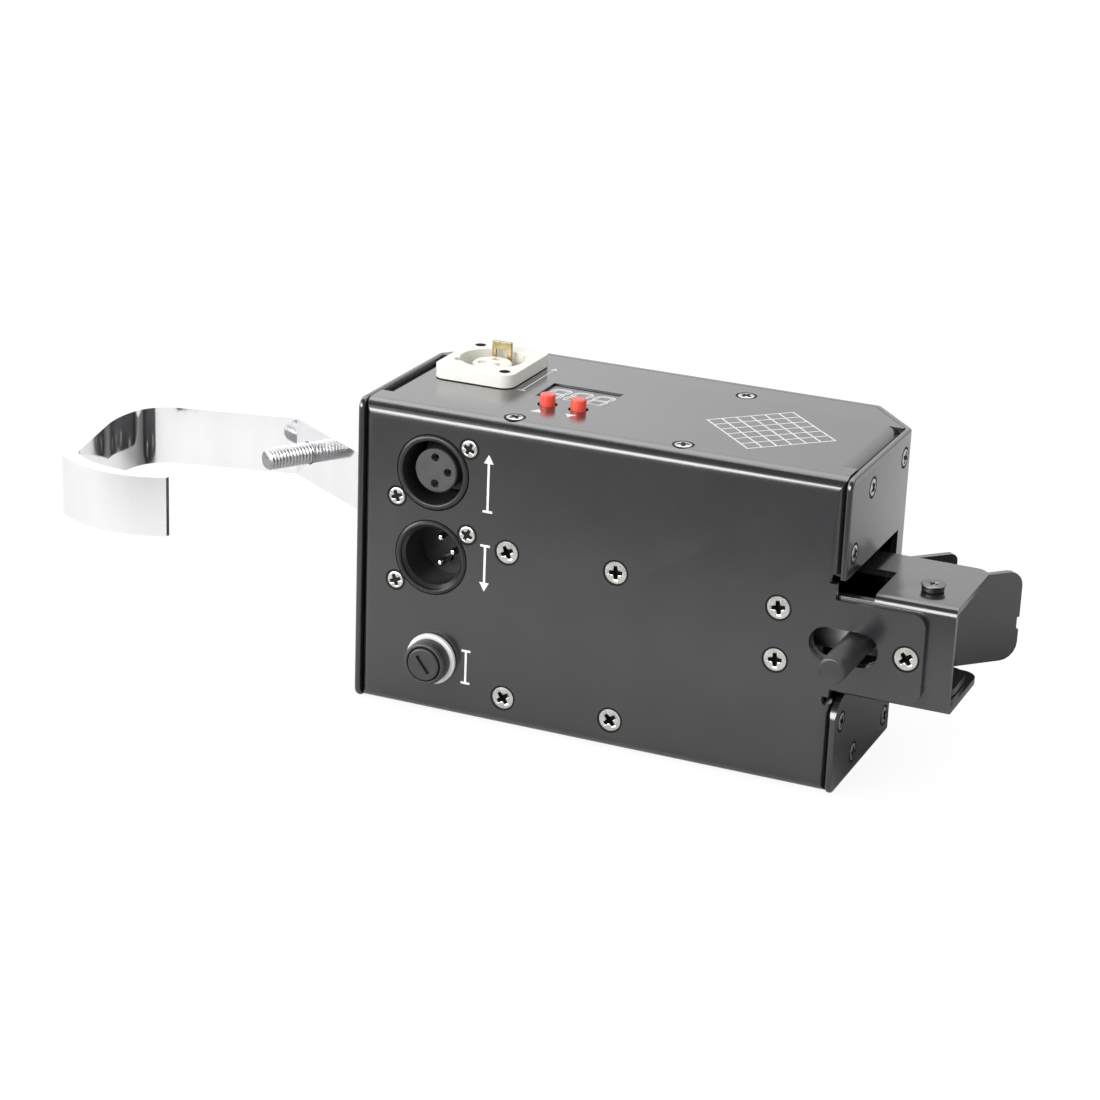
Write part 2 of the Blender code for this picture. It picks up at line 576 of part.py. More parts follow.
def cross_recess(mesh, foot, inward, reach, depth):
    """Adds a cross-shaped, tapering recess cutter whose mouth lies at the foot."""
    frame = inward.normalized().to_track_quat("Z", "Y").to_matrix().to_4x4()
    frame.translation = foot
    arm = 0.28 * reach
    levels = ((-0.6 * MM, 1.12), (depth, 0.55))
    rings = []
    for height, scale in levels:
        outline = [(reach * scale, arm), (arm, arm), (arm, reach * scale)]
        loop = []
        for quarter in range(4):
            turn = Matrix.Rotation(quarter * math.pi / 2 + math.radians(20), 3, "Z")
            loop += [turn @ Vector((u, v, height)) for u, v in outline]
        rings.append([mesh.verts.new(frame @ point) for point in loop])
    count = len(rings[0])
    mesh.faces.new(rings[0])
    mesh.faces.new(rings[1])
    for i in range(count):
        j = (i + 1) % count
        mesh.faces.new((rings[0][i], rings[0][j], rings[1][j], rings[1][i]))
    bmesh.ops.recalc_face_normals(mesh, faces=mesh.faces)


def panel_screws():
    """Seven countersunk screws with cross recesses."""
    places = {**panel_screw_places(), "tab_screw": TAB_SCREW}
    lengths = {"tab_screw": 5.2 * MM, "panel_screw_5": 9.6 * MM, "panel_screw_6": 9.6 * MM}
    for name, (x, z) in places.items():
        length = lengths.get(name, 10.8 * MM)
        sunk = 0.15 * MM
        taper = SCREW_HEAD - SCREW_SHANK
        profile = [(0, sunk), (SCREW_HEAD - 0.3 * MM, sunk), (SCREW_HEAD, sunk + 0.25 * MM),
                   (SCREW_SHANK, sunk + 0.25 * MM + taper), (SCREW_SHANK, length), (0, length)]
        screw = grown(turned(profile, (x, FRONT, z), Y_AXIS, 20), name, NICKEL)
        drive = bmesh.new()
        cross_recess(drive, Vector((x, FRONT + sunk, z)), Y_AXIS, 2.1 * MM, 1.3 * MM)
        cut(screw, drive)


def latch_levels():
    """Lowest and highest level of the latch slide."""
    return LATCH_HEIGHT - LATCH_HIGH / 2, LATCH_HEIGHT + LATCH_HIGH / 2


def latch_slide():
    """Bar that runs in the guide and locks the cam with its nose."""
    tip = PIVOT.x - CAM_RADIUS - 0.5 * MM
    tail = tip - LATCH_LENGTH
    low, high = latch_levels()
    half = LATCH_WIDTH / 2
    nose = NOSE_WIDTH / 2
    y = LATCH_Y
    cam = PIVOT.y
    outline = [(tail, y - half), (tip - 4.4 * MM, y - half), (tip - 3.4 * MM, cam - nose), (tip, cam - nose),
               (tip, cam + nose), (tip - 3.4 * MM, cam + nose), (tip - 4.4 * MM, y + half), (tail, y + half)]
    body = grown(prism(outline, low, high), "latch_slide", STEEL, (ROD_X, y, LATCH_HEIGHT))
    level = CAM_THICKNESS / 2 - 0.5 * MM
    reach = 3.4 * MM
    for start, end in ((low - MM, LATCH_HEIGHT - level), (LATCH_HEIGHT + level, high + MM)):
        cut(body, block((tip - reach, y - half - MM, start), (tip + MM, y + half + MM, end)))
    cut(body, rod((ROD_X, y - LATCH_WIDTH, LATCH_HEIGHT), Y_AXIS, ROD_RADIUS + GAP, 2 * LATCH_WIDTH, 24))
    cut(body, rod((tail - MM, y, LATCH_HEIGHT), X_AXIS, PLUNGER_RADIUS + GAP, 9 * MM, 20))
    return body


def release_rod():
    """Hand rod across the latch slide that runs in the slot."""
    chamfer = 0.6 * MM
    back = LATCH_Y + LATCH_WIDTH / 2 + ROD_TAIL
    length = back - (FRONT - ROD_REACH)
    profile = [(0, 0), (ROD_RADIUS - chamfer, 0), (ROD_RADIUS, chamfer), (ROD_RADIUS, length), (0, length)]
    foot = (ROD_X, FRONT - ROD_REACH, LATCH_HEIGHT)
    grown(turned(profile, foot, Y_AXIS, 28), "release_rod", BLACK_METAL)


def latch_guide():
    """Block on the bracket's web that the latch slide runs through."""
    centre = RIGHT - 20.0 * MM
    half = 6.5 * MM
    start = BRACKET_FACE + SHEET + GAP
    side = LATCH_WIDTH / 2 + GAP
    wall = 4.5 * MM
    low, high = latch_levels()
    inner_low, inner_high = BRACKET_LOW + SHEET + GAP, BRACKET_HIGH - SHEET - GAP
    body = block((centre - half, start, inner_low), (centre + half, LATCH_Y + side + wall, inner_high))
    body = grown(body, "latch_guide", BLACK_PLASTIC)
    cut(body, block((centre - 2 * half, LATCH_Y - side, low - GAP), (centre + 2 * half, LATCH_Y + side, high + GAP)))
    for name in ("panel_screw_3", "panel_screw_4"):
        x, z = panel_screw_places()[name]
        cut(body, rod((x, start - MM, z), Y_AXIS, SCREW_SHANK + GAP, FRONT + 11.3 * MM - start + MM, 16))
    return body


def solenoid():
    """Pull solenoid: steel frame, wound coil, plunger and the spring that pushes the latch out."""
    x1 = panel_screw_places()["panel_screw_1"][0] - 4.5 * MM
    x2 = panel_screw_places()["panel_screw_2"][0] + 5.5 * MM
    y0 = BRACKET_FACE + SHEET + GAP
    yoke = 3.0 * MM
    cheek = 3.0 * MM
    back = LATCH_Y + 13.0 * MM
    low, high = LATCH_HEIGHT - 14.0 * MM, LATCH_HEIGHT + 14.0 * MM
    profile = [(x1, y0), (x2, y0), (x2, back), (x2 - cheek, back), (x2 - cheek, y0 + yoke),
               (x1 + cheek, y0 + yoke), (x1 + cheek, back), (x1, back)]
    frame = grown(prism(profile, low, high), "solenoid_frame", STEEL)
    for name in ("panel_screw_1", "panel_screw_2"):
        x, z = panel_screw_places()[name]
        cut(frame, rod((x, y0 - MM, z), Y_AXIS, SCREW_SHANK + GAP, 10 * MM, 16))
    bore = PLUNGER_RADIUS + 2 * GAP
    cut(frame, rod((x2 - 2 * cheek, LATCH_Y, LATCH_HEIGHT), X_AXIS, bore, 4 * cheek, 20))
    stop = x1 + cheek + GAP
    flange_radius = LATCH_Y - y0 - yoke - 0.7 * MM
    coil_radius = flange_radius - 1.3 * MM
    coil_length = x2 - cheek - GAP - stop
    web = 1.5 * MM
    outline = [(bore, 0), (flange_radius, 0), (flange_radius, web), (coil_radius, web),
               (coil_radius, coil_length - web), (flange_radius, coil_length - web),
               (flange_radius, coil_length), (bore, coil_length)]
    grown(turned(outline, (stop, LATCH_Y, LATCH_HEIGHT), X_AXIS, 24, ring=True), "solenoid_coil", COPPER)

    tail = PIVOT.x - CAM_RADIUS - 0.5 * MM - LATCH_LENGTH
    start = stop + LATCH_BACK_TRAVEL + 5.0 * MM
    end = tail + 7.5 * MM
    grown(rod((start, LATCH_Y, LATCH_HEIGHT), X_AXIS, PLUNGER_RADIUS, end - start, 20), "plunger", STEEL)
    latch_spring(x2 + GAP, tail - GAP)


def latch_spring(start, end):
    """Push spring between the solenoid and the latch slide, wound round the plunger."""
    radius = PLUNGER_RADIUS + SPRING_WIRE + 0.6 * MM
    inset_ends = SPRING_WIRE
    curve = bpy.data.curves.new("latch_spring", "CURVE")
    curve.dimensions = "3D"
    curve.bevel_depth = SPRING_WIRE
    curve.bevel_resolution = 1
    curve.use_fill_caps = True
    points_a_turn = 9
    total = SPRING_TURNS * points_a_turn + 1
    line = curve.splines.new("POLY")
    line.points.add(total - 1)
    run = end - start - 2 * inset_ends
    for k in range(total):
        turn = 2 * math.pi * k / points_a_turn
        x = start + inset_ends + run * k / (total - 1)
        line.points[k].co = (x, LATCH_Y + radius * math.cos(turn), LATCH_HEIGHT + radius * math.sin(turn), 1)
    curve.materials.append(STEEL)
    spring = bpy.data.objects.new("latch_spring", curve)
    bpy.context.collection.objects.link(spring)
    pitch = run / SPRING_TURNS
    print("latch_spring: least gap between turns", round((pitch - 2 * SPRING_WIRE) / MM, 2), "mm")


def xlr_out():
    """Female three-pole connector: shell with rear flange, and the insert with three holes."""
    x, z = LEFT + XLR_PLACE, XLR_HEIGHTS["out"]
    behind = FRONT + SHEET + GAP
    plate = rounded([(x - 13 * MM, z - 15.5 * MM), (x + 13 * MM, z - 15.5 * MM), (x + 13 * MM, z + 15.5 * MM),
                     (x - 13 * MM, z + 15.5 * MM)], [3 * MM] * 4)
    top = min(HOUSING_HEIGHT - SHEET - GAP, z + 15.5 * MM)
    plate = [(u, min(v, top)) for u, v in plate]
    shell = grown(prism(plate, behind, behind + 2 * MM, "Y"), "xlr_out_shell", BLACK_METAL)
    outer, lip, mouth = XLR_HOLE - GAP, 11.3 * MM, 10.1 * MM
    proud, depth = 0.6 * MM, 20.0 * MM
    barrel = [(lip, -proud), (outer, -proud + 0.5 * MM), (outer, depth), (mouth, depth),
              (mouth, -proud + 0.5 * MM), (mouth + 0.4 * MM, -proud)]
    join(shell, turned(barrel, (x, FRONT, z), Y_AXIS, 36, ring=True))
    cut(shell, rod((x, FRONT - 5 * MM, z), Y_AXIS, mouth, 40 * MM, 36))
    insert_radius = 7.1 * MM
    face = 2.0 * MM
    insert = [(0, face), (insert_radius - 0.4 * MM, face), (insert_radius, face + 0.4 * MM),
              (insert_radius, depth - 5 * MM), (mouth - GAP, depth - 5 * MM), (mouth - GAP, depth), (0, depth)]
    insert = grown(turned(insert, (x, FRONT, z), Y_AXIS, 32), "xlr_out_insert", BLACK_PLASTIC)
    for dx, dz in xlr_pin_places():
        cut(insert, rod((x + dx, FRONT - 5 * MM, z + dz), Y_AXIS, 1.35 * MM, 15 * MM, 12))


def xlr_pin_places():
    """Offsets of the three poles from a connector's centre."""
    return ((-0.25 * MM, 4.2 * MM), (4.0 * MM, 0.0), (-0.25 * MM, -4.2 * MM))


def xlr_in():
    """Male three-pole connector: shell with cup, and three pins."""
    x, z = LEFT + XLR_PLACE, XLR_HEIGHTS["in"]
    behind = FRONT + SHEET + GAP
    high = min(z + 15.5 * MM, XLR_HEIGHTS["out"] - 15.5 * MM - GAP)
    plate = rounded([(x - 13 * MM, z - 15.5 * MM), (x + 13 * MM, z - 15.5 * MM), (x + 13 * MM, high),
                     (x - 13 * MM, high)], [1.5 * MM] * 4)
    shell = grown(prism(plate, behind, behind + 2 * MM, "Y"), "xlr_in_shell", BLACK_METAL)
    outer, lip, step, cup = XLR_HOLE - GAP, 11.3 * MM, 10.4 * MM, 9.4 * MM
    proud, depth, floor = 0.6 * MM, 20.0 * MM, 14.0 * MM
    barrel = [(0, floor), (cup, floor), (cup, 1.6 * MM), (step, 0.6 * MM), (step, -proud + 0.4 * MM),
              (step + 0.4 * MM, -proud), (lip, -proud), (outer, -proud + 0.5 * MM), (outer, depth), (0, depth)]
    cut(shell, rod((x, FRONT - 5 * MM, z), Y_AXIS, outer - MM, 40 * MM, 36))
    join(shell, turned(barrel, (x, FRONT, z), Y_AXIS, 36))
    pin_radius = 1.2 * MM
    for k, (dx, dz) in enumerate(xlr_pin_places(), 1):
        foot = (x + dx, FRONT + PIN_DEPTH, z + dz)
        hole = rod((foot[0], FRONT + floor - MM, foot[2]), Y_AXIS, pin_radius + GAP, 4 * MM, 12)
        cut(shell, hole)
        length = floor + 2.6 * MM - PIN_DEPTH
        profile = [(0, 0), (pin_radius * 0.6, 0.15 * MM), (pin_radius, 0.8 * MM), (pin_radius, length), (0, length)]
        grown(turned(profile, foot, Y_AXIS, 12), f"xlr_in_pin_{k}", SILVER)


def fuse_holder():
    """Panel fuse holder: body, washer ring, nut, glass fuse and cap."""
    x, z = LEFT + FUSE_PLACE, FUSE_HEIGHT
    foot = (x, FRONT, z)
    ring_out, ring_thick = 8.2 * MM, 1.5 * MM
    neck = FUSE_HOLE - GAP
    ring = [(neck + GAP, -GAP - ring_thick), (ring_out, -GAP - ring_thick), (ring_out, -GAP), (neck + GAP, -GAP)]
    grown(turned(ring, foot, Y_AXIS, 32, ring=True), "fuse_ring", WHITE_PLASTIC)
    lip, flange = 6.0 * MM, 7.0 * MM
    bore, mouth = 4.0 * MM, 5.7 * MM
    back, depth = -ring_thick - 2 * GAP, 34.0 * MM
    seat = -3.4 * MM
    body = [(0, depth), (neck, depth), (neck, back), (flange, back), (flange, -lip), (flange - 0.7 * MM, -lip - 0.6 * MM),
            (mouth, -lip - 0.6 * MM), (mouth, seat), (bore, seat), (bore, depth - 4 * MM), (0, depth - 4 * MM)]
    grown(turned(body, foot, Y_AXIS, 28), "fuse_body", BLACK_PLASTIC)
    nut_start = SHEET + GAP
    nut = grown(hexagon((x, FRONT + nut_start, z), Y_AXIS, 16 * MM, 3.0 * MM), "fuse_nut", BLACK_PLASTIC)
    cut(nut, rod((x, FRONT, z), Y_AXIS, neck + GAP, 10 * MM, 28))
    cap = mouth - 0.4 * MM
    face = -lip - 1.1 * MM
    fuse_start, fuse_length, fuse_radius = seat + 6.0 * MM, 20.0 * MM, 2.6 * MM
    stem = bore - GAP
    profile = [(0, face), (cap - 0.4 * MM, face), (cap, face + 0.4 * MM), (cap, seat - GAP), (stem, seat - GAP),
               (stem, fuse_start + 3.0 * MM), (fuse_radius + GAP, fuse_start + 3.0 * MM),
               (fuse_radius + GAP, fuse_start - GAP), (0, fuse_start - GAP)]
    cap_piece = grown(turned(profile, foot, Y_AXIS, 28), "fuse_cap", BLACK_PLASTIC, foot)
    slot_half, slot_wide = 3.4 * MM, 0.55 * MM
    turn = Matrix.Rotation(math.radians(-52), 2)
    outline = [Vector((x, z)) + turn @ Vector((u * slot_half, v * slot_wide)) for u, v in ((-1, -1), (1, -1), (1, 1), (-1, 1))]
    cut(cap_piece, prism(outline, FRONT + face - MM, FRONT + face + 1.2 * MM, "Y"))
    fuse = [(0, fuse_start), (fuse_radius, fuse_start), (fuse_radius, fuse_start + 5 * MM),
            (fuse_radius - 0.2 * MM, fuse_start + 5 * MM), (fuse_radius - 0.2 * MM, fuse_start + fuse_length - 5 * MM),
            (fuse_radius, fuse_start + fuse_length - 5 * MM), (fuse_radius, fuse_start + fuse_length),
            (0, fuse_start + fuse_length)]
    grown(turned(fuse, foot, Y_AXIS, 16), "fuse_link", CLEAR_GLASS, foot)


def power_socket(name, centre, outward, across, finish, contact_finish):
    """Twist-lock mains socket: square flange, round keyed cup and a centre post with its contact."""
    frame = Matrix((across, outward.cross(across), outward)).transposed().to_4x4()
    frame.translation = centre
    wide, high, thick = 27.0 * MM, 32.2 * MM, 4.1 * MM
    corner = 4.0 * MM
    outline = rounded([(-wide / 2, -high / 2), (wide / 2, -high / 2), (wide / 2, high / 2), (-wide / 2, high / 2)],
                      [corner] * 4)
    mesh = prism(outline, GAP, thick + GAP)
    bmesh.ops.transform(mesh, matrix=frame, verts=mesh.verts)
    body = grown(mesh, name, finish)
    barrel = SOCKET_HOLE - GAP
    cup, depth = 10.4 * MM, 22.0 * MM
    join(body, turned([(barrel, -depth), (barrel, thick * 0.5)], centre, outward, 36))
    floor = 14.0 * MM
    cut(body, turned([(cup, -floor), (cup, thick * 3)], centre, outward, 36))
    for turn in (math.radians(35), math.radians(215)):
        spot = frame @ Vector((cup * math.cos(turn), cup * math.sin(turn), 0))
        cut(body, turned([(1.9 * MM, -floor + 2 * MM), (1.9 * MM, thick * 3)], spot, outward, 12))
    post, post_top = 6.3 * MM, 3.2 * MM
    join(body, turned([(post, -floor - MM), (post, post_top - 0.5 * MM), (post - 0.5 * MM, post_top)], centre, outward, 28))
    gap = 1.2 * MM
    pocket = [(2.0 * MM, -gap), (4.6 * MM, -gap), (4.6 * MM, gap), (2.0 * MM, gap)]
    for turn in (90, 210, 330):
        spin = Matrix.Rotation(math.radians(turn), 2)
        mesh = prism([spin @ Vector(p) for p in pocket], -8 * MM, 8 * MM)
        bmesh.ops.transform(mesh, matrix=frame, verts=mesh.verts)
        cut(body, mesh)
    mesh = prism(rounded([(-3.4 * MM, 6.9 * MM), (3.4 * MM, 6.9 * MM), (3.4 * MM, 8.1 * MM), (-3.4 * MM, 8.1 * MM)],
                         [0.3 * MM] * 4), -floor + GAP, thick + 3.9 * MM)
    bmesh.ops.transform(mesh, matrix=frame, verts=mesh.verts)
    tongue = grown(mesh, f"{name}_tongue", contact_finish)
    window = prism([(-2.0 * MM, 6 * MM), (2.0 * MM, 6 * MM), (2.0 * MM, 9 * MM), (-2.0 * MM, 9 * MM)],
                   thick * 0.4, thick + 1.3 * MM)
    bmesh.ops.transform(window, matrix=frame, verts=window.verts)
    cut(tongue, window)
    return body


def display_and_buttons():
    """Control board under the top panel, with the display block, two switches and two button caps."""
    top = HOUSING_HEIGHT
    board_top = top - 9.0 * MM
    board_low = board_top - 1.6 * MM
    x0, x1 = LEFT + 43 * MM, LEFT + 108 * MM
    y0, y1 = FRONT + 5.0 * MM, REAR - 9.2 * MM
    board = grown(block((x0, y0, board_low), (x1, y1, board_top)), "control_board", BOARD)
    posts = [(LEFT + 49.7 * MM, FRONT + 8.0 * MM), (LEFT + 103.9 * MM, FRONT + 8.0 * MM),
             (LEFT + 103.3 * MM, REAR - 12.7 * MM)]
    for x, y in posts:
        join(board, hexagon((x, y, board_top - 0.5 * MM), Z_AXIS, 5.0 * MM, top - SHEET - GAP - board_top + 0.5 * MM))
    half_x, half_y = DISPLAY_LENGTH / 2 - GAP, DISPLAY_WIDTH / 2 - GAP
    cx, cy = LEFT + DISPLAY_PLACE, FRONT + DISPLAY_DEPTH
    low = board_top + GAP
    grown(block((cx - half_x, cy - half_y, low), (cx + half_x, cy + half_y, top - 0.8 * MM)), "display", DISPLAY_FACE)
    for k, place_x in enumerate(BUTTON_PLACES, 1):
        x, y = LEFT + place_x, FRONT + BUTTON_DEPTH
        side = 3.1 * MM
        switch_high = 3.6 * MM
        body = block((x - side, y - side, low), (x + side, y + side, low + switch_high))
        body = grown(body, f"button_switch_{k}", BLACK_PLASTIC)
        stem = 1.7 * MM
        cut(body, rod((x, y, low + 1.0 * MM), Z_AXIS, stem + GAP, 8 * MM, 16))
        collar, collar_low = 3.6 * MM, low + switch_high + BUTTON_TRAVEL + GAP
        profile = [(0, low + 1.0 * MM + BUTTON_TRAVEL + GAP), (stem, low + 1.0 * MM + BUTTON_TRAVEL + GAP),
                   (stem, collar_low), (collar, collar_low), (collar, collar_low + 1.0 * MM),
                   (BUTTON_RADIUS, collar_low + 1.0 * MM), (BUTTON_RADIUS, top + 3.1 * MM),
                   (BUTTON_RADIUS - 0.35 * MM, top + 3.5 * MM), (0, top + 3.6 * MM)]
        grown(turned(profile, (x, y, 0), Z_AXIS, 20), f"button_{k}", RED_PLASTIC, (x, y, top))


def power_board():
    """Mains board low in the box, on two posts that the lower panel screws hold."""
    (x5, z5), (x6, _) = panel_screw_places()["panel_screw_5"], panel_screw_places()["panel_screw_6"]
    y = FRONT + SHEET + GAP
    post = 8.0 * MM
    thick = 1.6 * MM
    for name, x in (("board_post_1", x5), ("board_post_2", x6)):
        body = grown(hexagon((x, y, z5), Y_AXIS, 7.0 * MM, post), name, NICKEL)
        cut(body, rod((x, y - MM, z5), Y_AXIS, SCREW_SHANK + GAP, post + 4 * MM, 16))
    start = y + post + GAP
    board = block((x5 - 6 * MM, start, 4 * MM), (x6 + 7 * MM, start + thick, BRACKET_LOW - 2 * MM))
    board = grown(board, "power_board", BOARD)
    core = block((x5 + 1 * MM, start + thick / 2, 7 * MM), (x5 + 19 * MM, start + 17 * MM, 27 * MM))
    join(board, core)
    for dx in (26 * MM, 37 * MM):
        can = rod((x5 + dx, start + thick / 2, 19 * MM), Y_AXIS, 4.6 * MM, 15 * MM, 16)
        join(board, can)


def hook_path():
    """Middle line of the hook bar as places, headings and thicknesses, from its foot to its tip."""
    place_at = Vector((LEFT - FOOT_THICKNESS / 2 - GAP, FRONT + HOOK_START))
    heading = math.radians(147.0)
    base, middle, tip = 10.3 * MM, 6.8 * MM, 4.4 * MM
    moves = [("run", 69.8 * MM, 0), ("bend", 4.0 * MM, 48.6), ("run", 42.6 * MM, 0), ("bend", 18.6 * MM, 62.6),
             ("bend", 42.3 * MM, 25.5), ("run", 28.3 * MM, 0), ("bend", 10.0 * MM, 42.4), ("bend", 35.4 * MM, 61.8)]
    stations = [(place_at, heading, 0.0)]
    for kind, size, turn in moves:
        if kind == "run":
            place_at = place_at + Vector((math.cos(heading), math.sin(heading))) * size
            stations.append((place_at, heading, stations[-1][2] + size))
            continue
        turn = math.radians(turn)
        pieces = max(2, round(turn / math.radians(11)))
        for _ in range(pieces):
            part = turn / pieces
            chord = 2 * size * math.sin(part / 2)
            place_at = place_at + Vector((math.cos(heading + part / 2), math.sin(heading + part / 2))) * chord
            heading += part
            stations.append((place_at, heading, stations[-1][2] + size * part))
    total = stations[-1][2]
    first = moves[0][1]
    knots = [(0.0, base), (first, base), (0.55 * total, middle), (total, tip)]
    result = []
    for spot, angle, length in stations:
        for (a, ta), (b, tb) in zip(knots, knots[1:]):
            if length <= b + 1e-9:
                result.append((spot, angle, ta + (tb - ta) * (length - a) / (b - a)))
                break
    return result


def clamp_line():
    """A point on the clamp bolt's line at the bar's inner face, and the direction into the hook."""
    start, heading, thick = hook_path()[0]
    along = Vector((math.cos(heading), math.sin(heading)))
    into = Vector((-along.y, along.x))
    entry = start + along * CLAMP_BOLT_ALONG + into * thick / 2
    return Vector((entry.x, entry.y, HOOK_HEIGHT)), Vector((into.x, into.y, 0)), thick


def hook_clamp():
    """Aluminium hook bar, bolted on by its foot, with a tapped hole for the clamp bolt."""
    low, high = HOOK_HEIGHT - HOOK_WIDTH / 2, HOOK_HEIGHT + HOOK_WIDTH / 2
    inner, outer = [], []
    for spot, heading, thick in hook_path():
        side = Vector((-math.sin(heading), math.cos(heading))) * thick / 2
        inner.append(spot + side)
        outer.append(spot - side)
    inner[-1] = Vector((outer[-1].x, inner[-1].y + (outer[-1].x - inner[-1].x) * 0.25))
    foot_x = LEFT - GAP
    back = foot_x - FOOT_THICKNESS
    half = 14.0 * MM
    y = FRONT + FOOT_CENTRE
    foot = rounded([(foot_x, y - half), (foot_x, FRONT + HOOK_START + 5.6 * MM), (back, FRONT + HOOK_START + 5.6 * MM),
                    (back, y - half)], [1.5 * MM, 1.0 * MM, 0, 1.5 * MM])
    hook = grown(prism(outer + inner[::-1], low, high), "hook_clamp", ALUMINIUM)
    join(hook, prism(foot, low, high))
    cut(hook, rod((back - 5 * MM, y, HOOK_HEIGHT), X_AXIS, FOOT_BOLT_RADIUS + GAP, 30 * MM, 20))
    entry, into, thick = clamp_line()
    cut(hook, rod(entry - into * (thick + 5 * MM), into, CLAMP_BOLT_RADIUS + GAP, thick + 10 * MM, 20))
    return hook


def clamp_bolt():
    """Hexagon bolt through the hook's slanted leg that presses the pipe into the hook."""
    entry, into, thick = clamp_line()
    tip = entry + into * CLAMP_BOLT_INSIDE
    chamfer = 0.8 * MM
    head_high, across = 5.3 * MM, 13.0 * MM
    profile = [(0, 0), (CLAMP_BOLT_RADIUS - chamfer, 0), (CLAMP_BOLT_RADIUS, chamfer),
               (CLAMP_BOLT_RADIUS, CLAMP_BOLT_LENGTH + MM), (0, CLAMP_BOLT_LENGTH + MM)]
    bolt = grown(turned(profile, tip, -into, 24), "clamp_bolt", STEEL, tip)
    join(bolt, hexagon(tip - into * CLAMP_BOLT_LENGTH, -into, across, head_high))


def foot_bolt():
    """Bolt and nut that hold the hook's foot on the left end plate."""
    y = FRONT + FOOT_CENTRE
    head_x = LEFT - GAP - FOOT_THICKNESS - GAP
    head_high, nut_high = 5.3 * MM, 6.5 * MM
    length = FOOT_THICKNESS + SHEET + nut_high + 4 * MM
    bolt = hexagon((head_x - head_high, y, HOOK_HEIGHT), X_AXIS, 13.0 * MM, head_high)
    bolt = grown(bolt, "foot_bolt", NICKEL)
    join(bolt, rod((head_x - MM, y, HOOK_HEIGHT), X_AXIS, FOOT_BOLT_RADIUS, length + MM, 20))
    nut = hexagon((LEFT + SHEET + GAP, y, HOOK_HEIGHT), X_AXIS, 13.0 * MM, nut_high)
    nut = grown(nut, "foot_nut", NICKEL)
    cut(nut, rod((LEFT, y, HOOK_HEIGHT), X_AXIS, FOOT_BOLT_RADIUS + GAP, 20 * MM, 20))


front_shell()
wrap_cover()
release_bracket()
jaw()
jaw_cam()
jaw_spacers()
pivot_bolt()
panel_screws()
latch_slide()
release_rod()
latch_guide()
solenoid()
xlr_out()
xlr_in()
fuse_holder()
power_socket("power_outlet", Vector((LEFT + OUTLET_PLACE, FRONT + OUTLET_DEPTH, HOUSING_HEIGHT)), Z_AXIS, X_AXIS,
             IVORY_PLASTIC, BRASS)
power_socket("power_inlet", Vector((LEFT + INLET_PLACE, REAR, INLET_HEIGHT)), Y_AXIS, X_AXIS, BLUE_PLASTIC, BRASS)
display_and_buttons()
power_board()
hook_clamp()
clamp_bolt()
foot_bolt()

for piece in bpy.data.objects:
    if piece.type == "MESH" and not piece.hide_render and len(piece.modifiers) > 0:
        evened = piece.modifiers.new("Even shading", "WEIGHTED_NORMAL")
        evened.keep_sharp = True
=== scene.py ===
"""Looks of a curtain drop machine: a bent-steel box that hangs from a pipe and lets a curtain's ring go.

The box lies with its control panel up, as it was photographed: +X runs from the hook clamp to the
release fork, +Y from the connector panel to the rear. Sizes are in metres.
"""
import math

import bmesh
import bpy
from mathutils import Matrix, Vector


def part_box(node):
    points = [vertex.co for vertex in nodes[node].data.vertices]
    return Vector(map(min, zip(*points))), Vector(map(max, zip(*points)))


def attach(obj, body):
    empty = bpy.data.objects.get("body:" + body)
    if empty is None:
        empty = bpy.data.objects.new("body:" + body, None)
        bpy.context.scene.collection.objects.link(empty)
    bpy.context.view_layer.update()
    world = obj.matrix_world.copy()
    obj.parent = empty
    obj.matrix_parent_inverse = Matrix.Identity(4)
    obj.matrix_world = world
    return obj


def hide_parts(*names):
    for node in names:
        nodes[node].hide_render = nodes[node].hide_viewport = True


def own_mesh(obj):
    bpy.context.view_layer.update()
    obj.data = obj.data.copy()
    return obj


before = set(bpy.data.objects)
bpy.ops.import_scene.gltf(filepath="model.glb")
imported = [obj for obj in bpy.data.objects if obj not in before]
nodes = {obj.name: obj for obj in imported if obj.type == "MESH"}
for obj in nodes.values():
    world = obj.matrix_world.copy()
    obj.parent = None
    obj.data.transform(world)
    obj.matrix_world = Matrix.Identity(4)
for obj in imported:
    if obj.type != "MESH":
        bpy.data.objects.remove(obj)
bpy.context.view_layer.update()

MM, NEAR_ZERO = 0.001, 1e-6


def added(name, data):
    """A new object in the scene with the given data."""
    thing = bpy.data.objects.new(name, data)
    bpy.context.scene.collection.objects.link(thing)
    return thing


# Camera: a long lens from the right and above, as the box was photographed on a white table.
# The picture is square, the camera leans a little, and nothing is shifted or out of focus.
camera_place = Vector((310.7, -807.5, 367.2)) * MM
camera_turn, camera_drop, camera_lean = math.radians(22.86), math.radians(20.1), math.radians(2.247)
level_share = math.cos(camera_drop)
lens = bpy.data.cameras.new("photo_camera")
lens.lens, lens.sensor_width = 96.36, 36.0
lens.clip_start, lens.clip_end = 0.01, 30.0
camera = added("photo_camera", lens)
sight = Vector((-math.sin(camera_turn) * level_share, math.cos(camera_turn) * level_share,
                -math.sin(camera_drop)))
camera.rotation_mode = "QUATERNION"
camera.rotation_quaternion = (sight.to_track_quat("-Z", "Y").to_matrix()
                              @ Matrix.Rotation(camera_lean, 3, "Z")).to_quaternion()
camera.location = camera_place
bpy.context.scene.camera = camera
bpy.context.scene.view_settings.view_transform = "Standard"

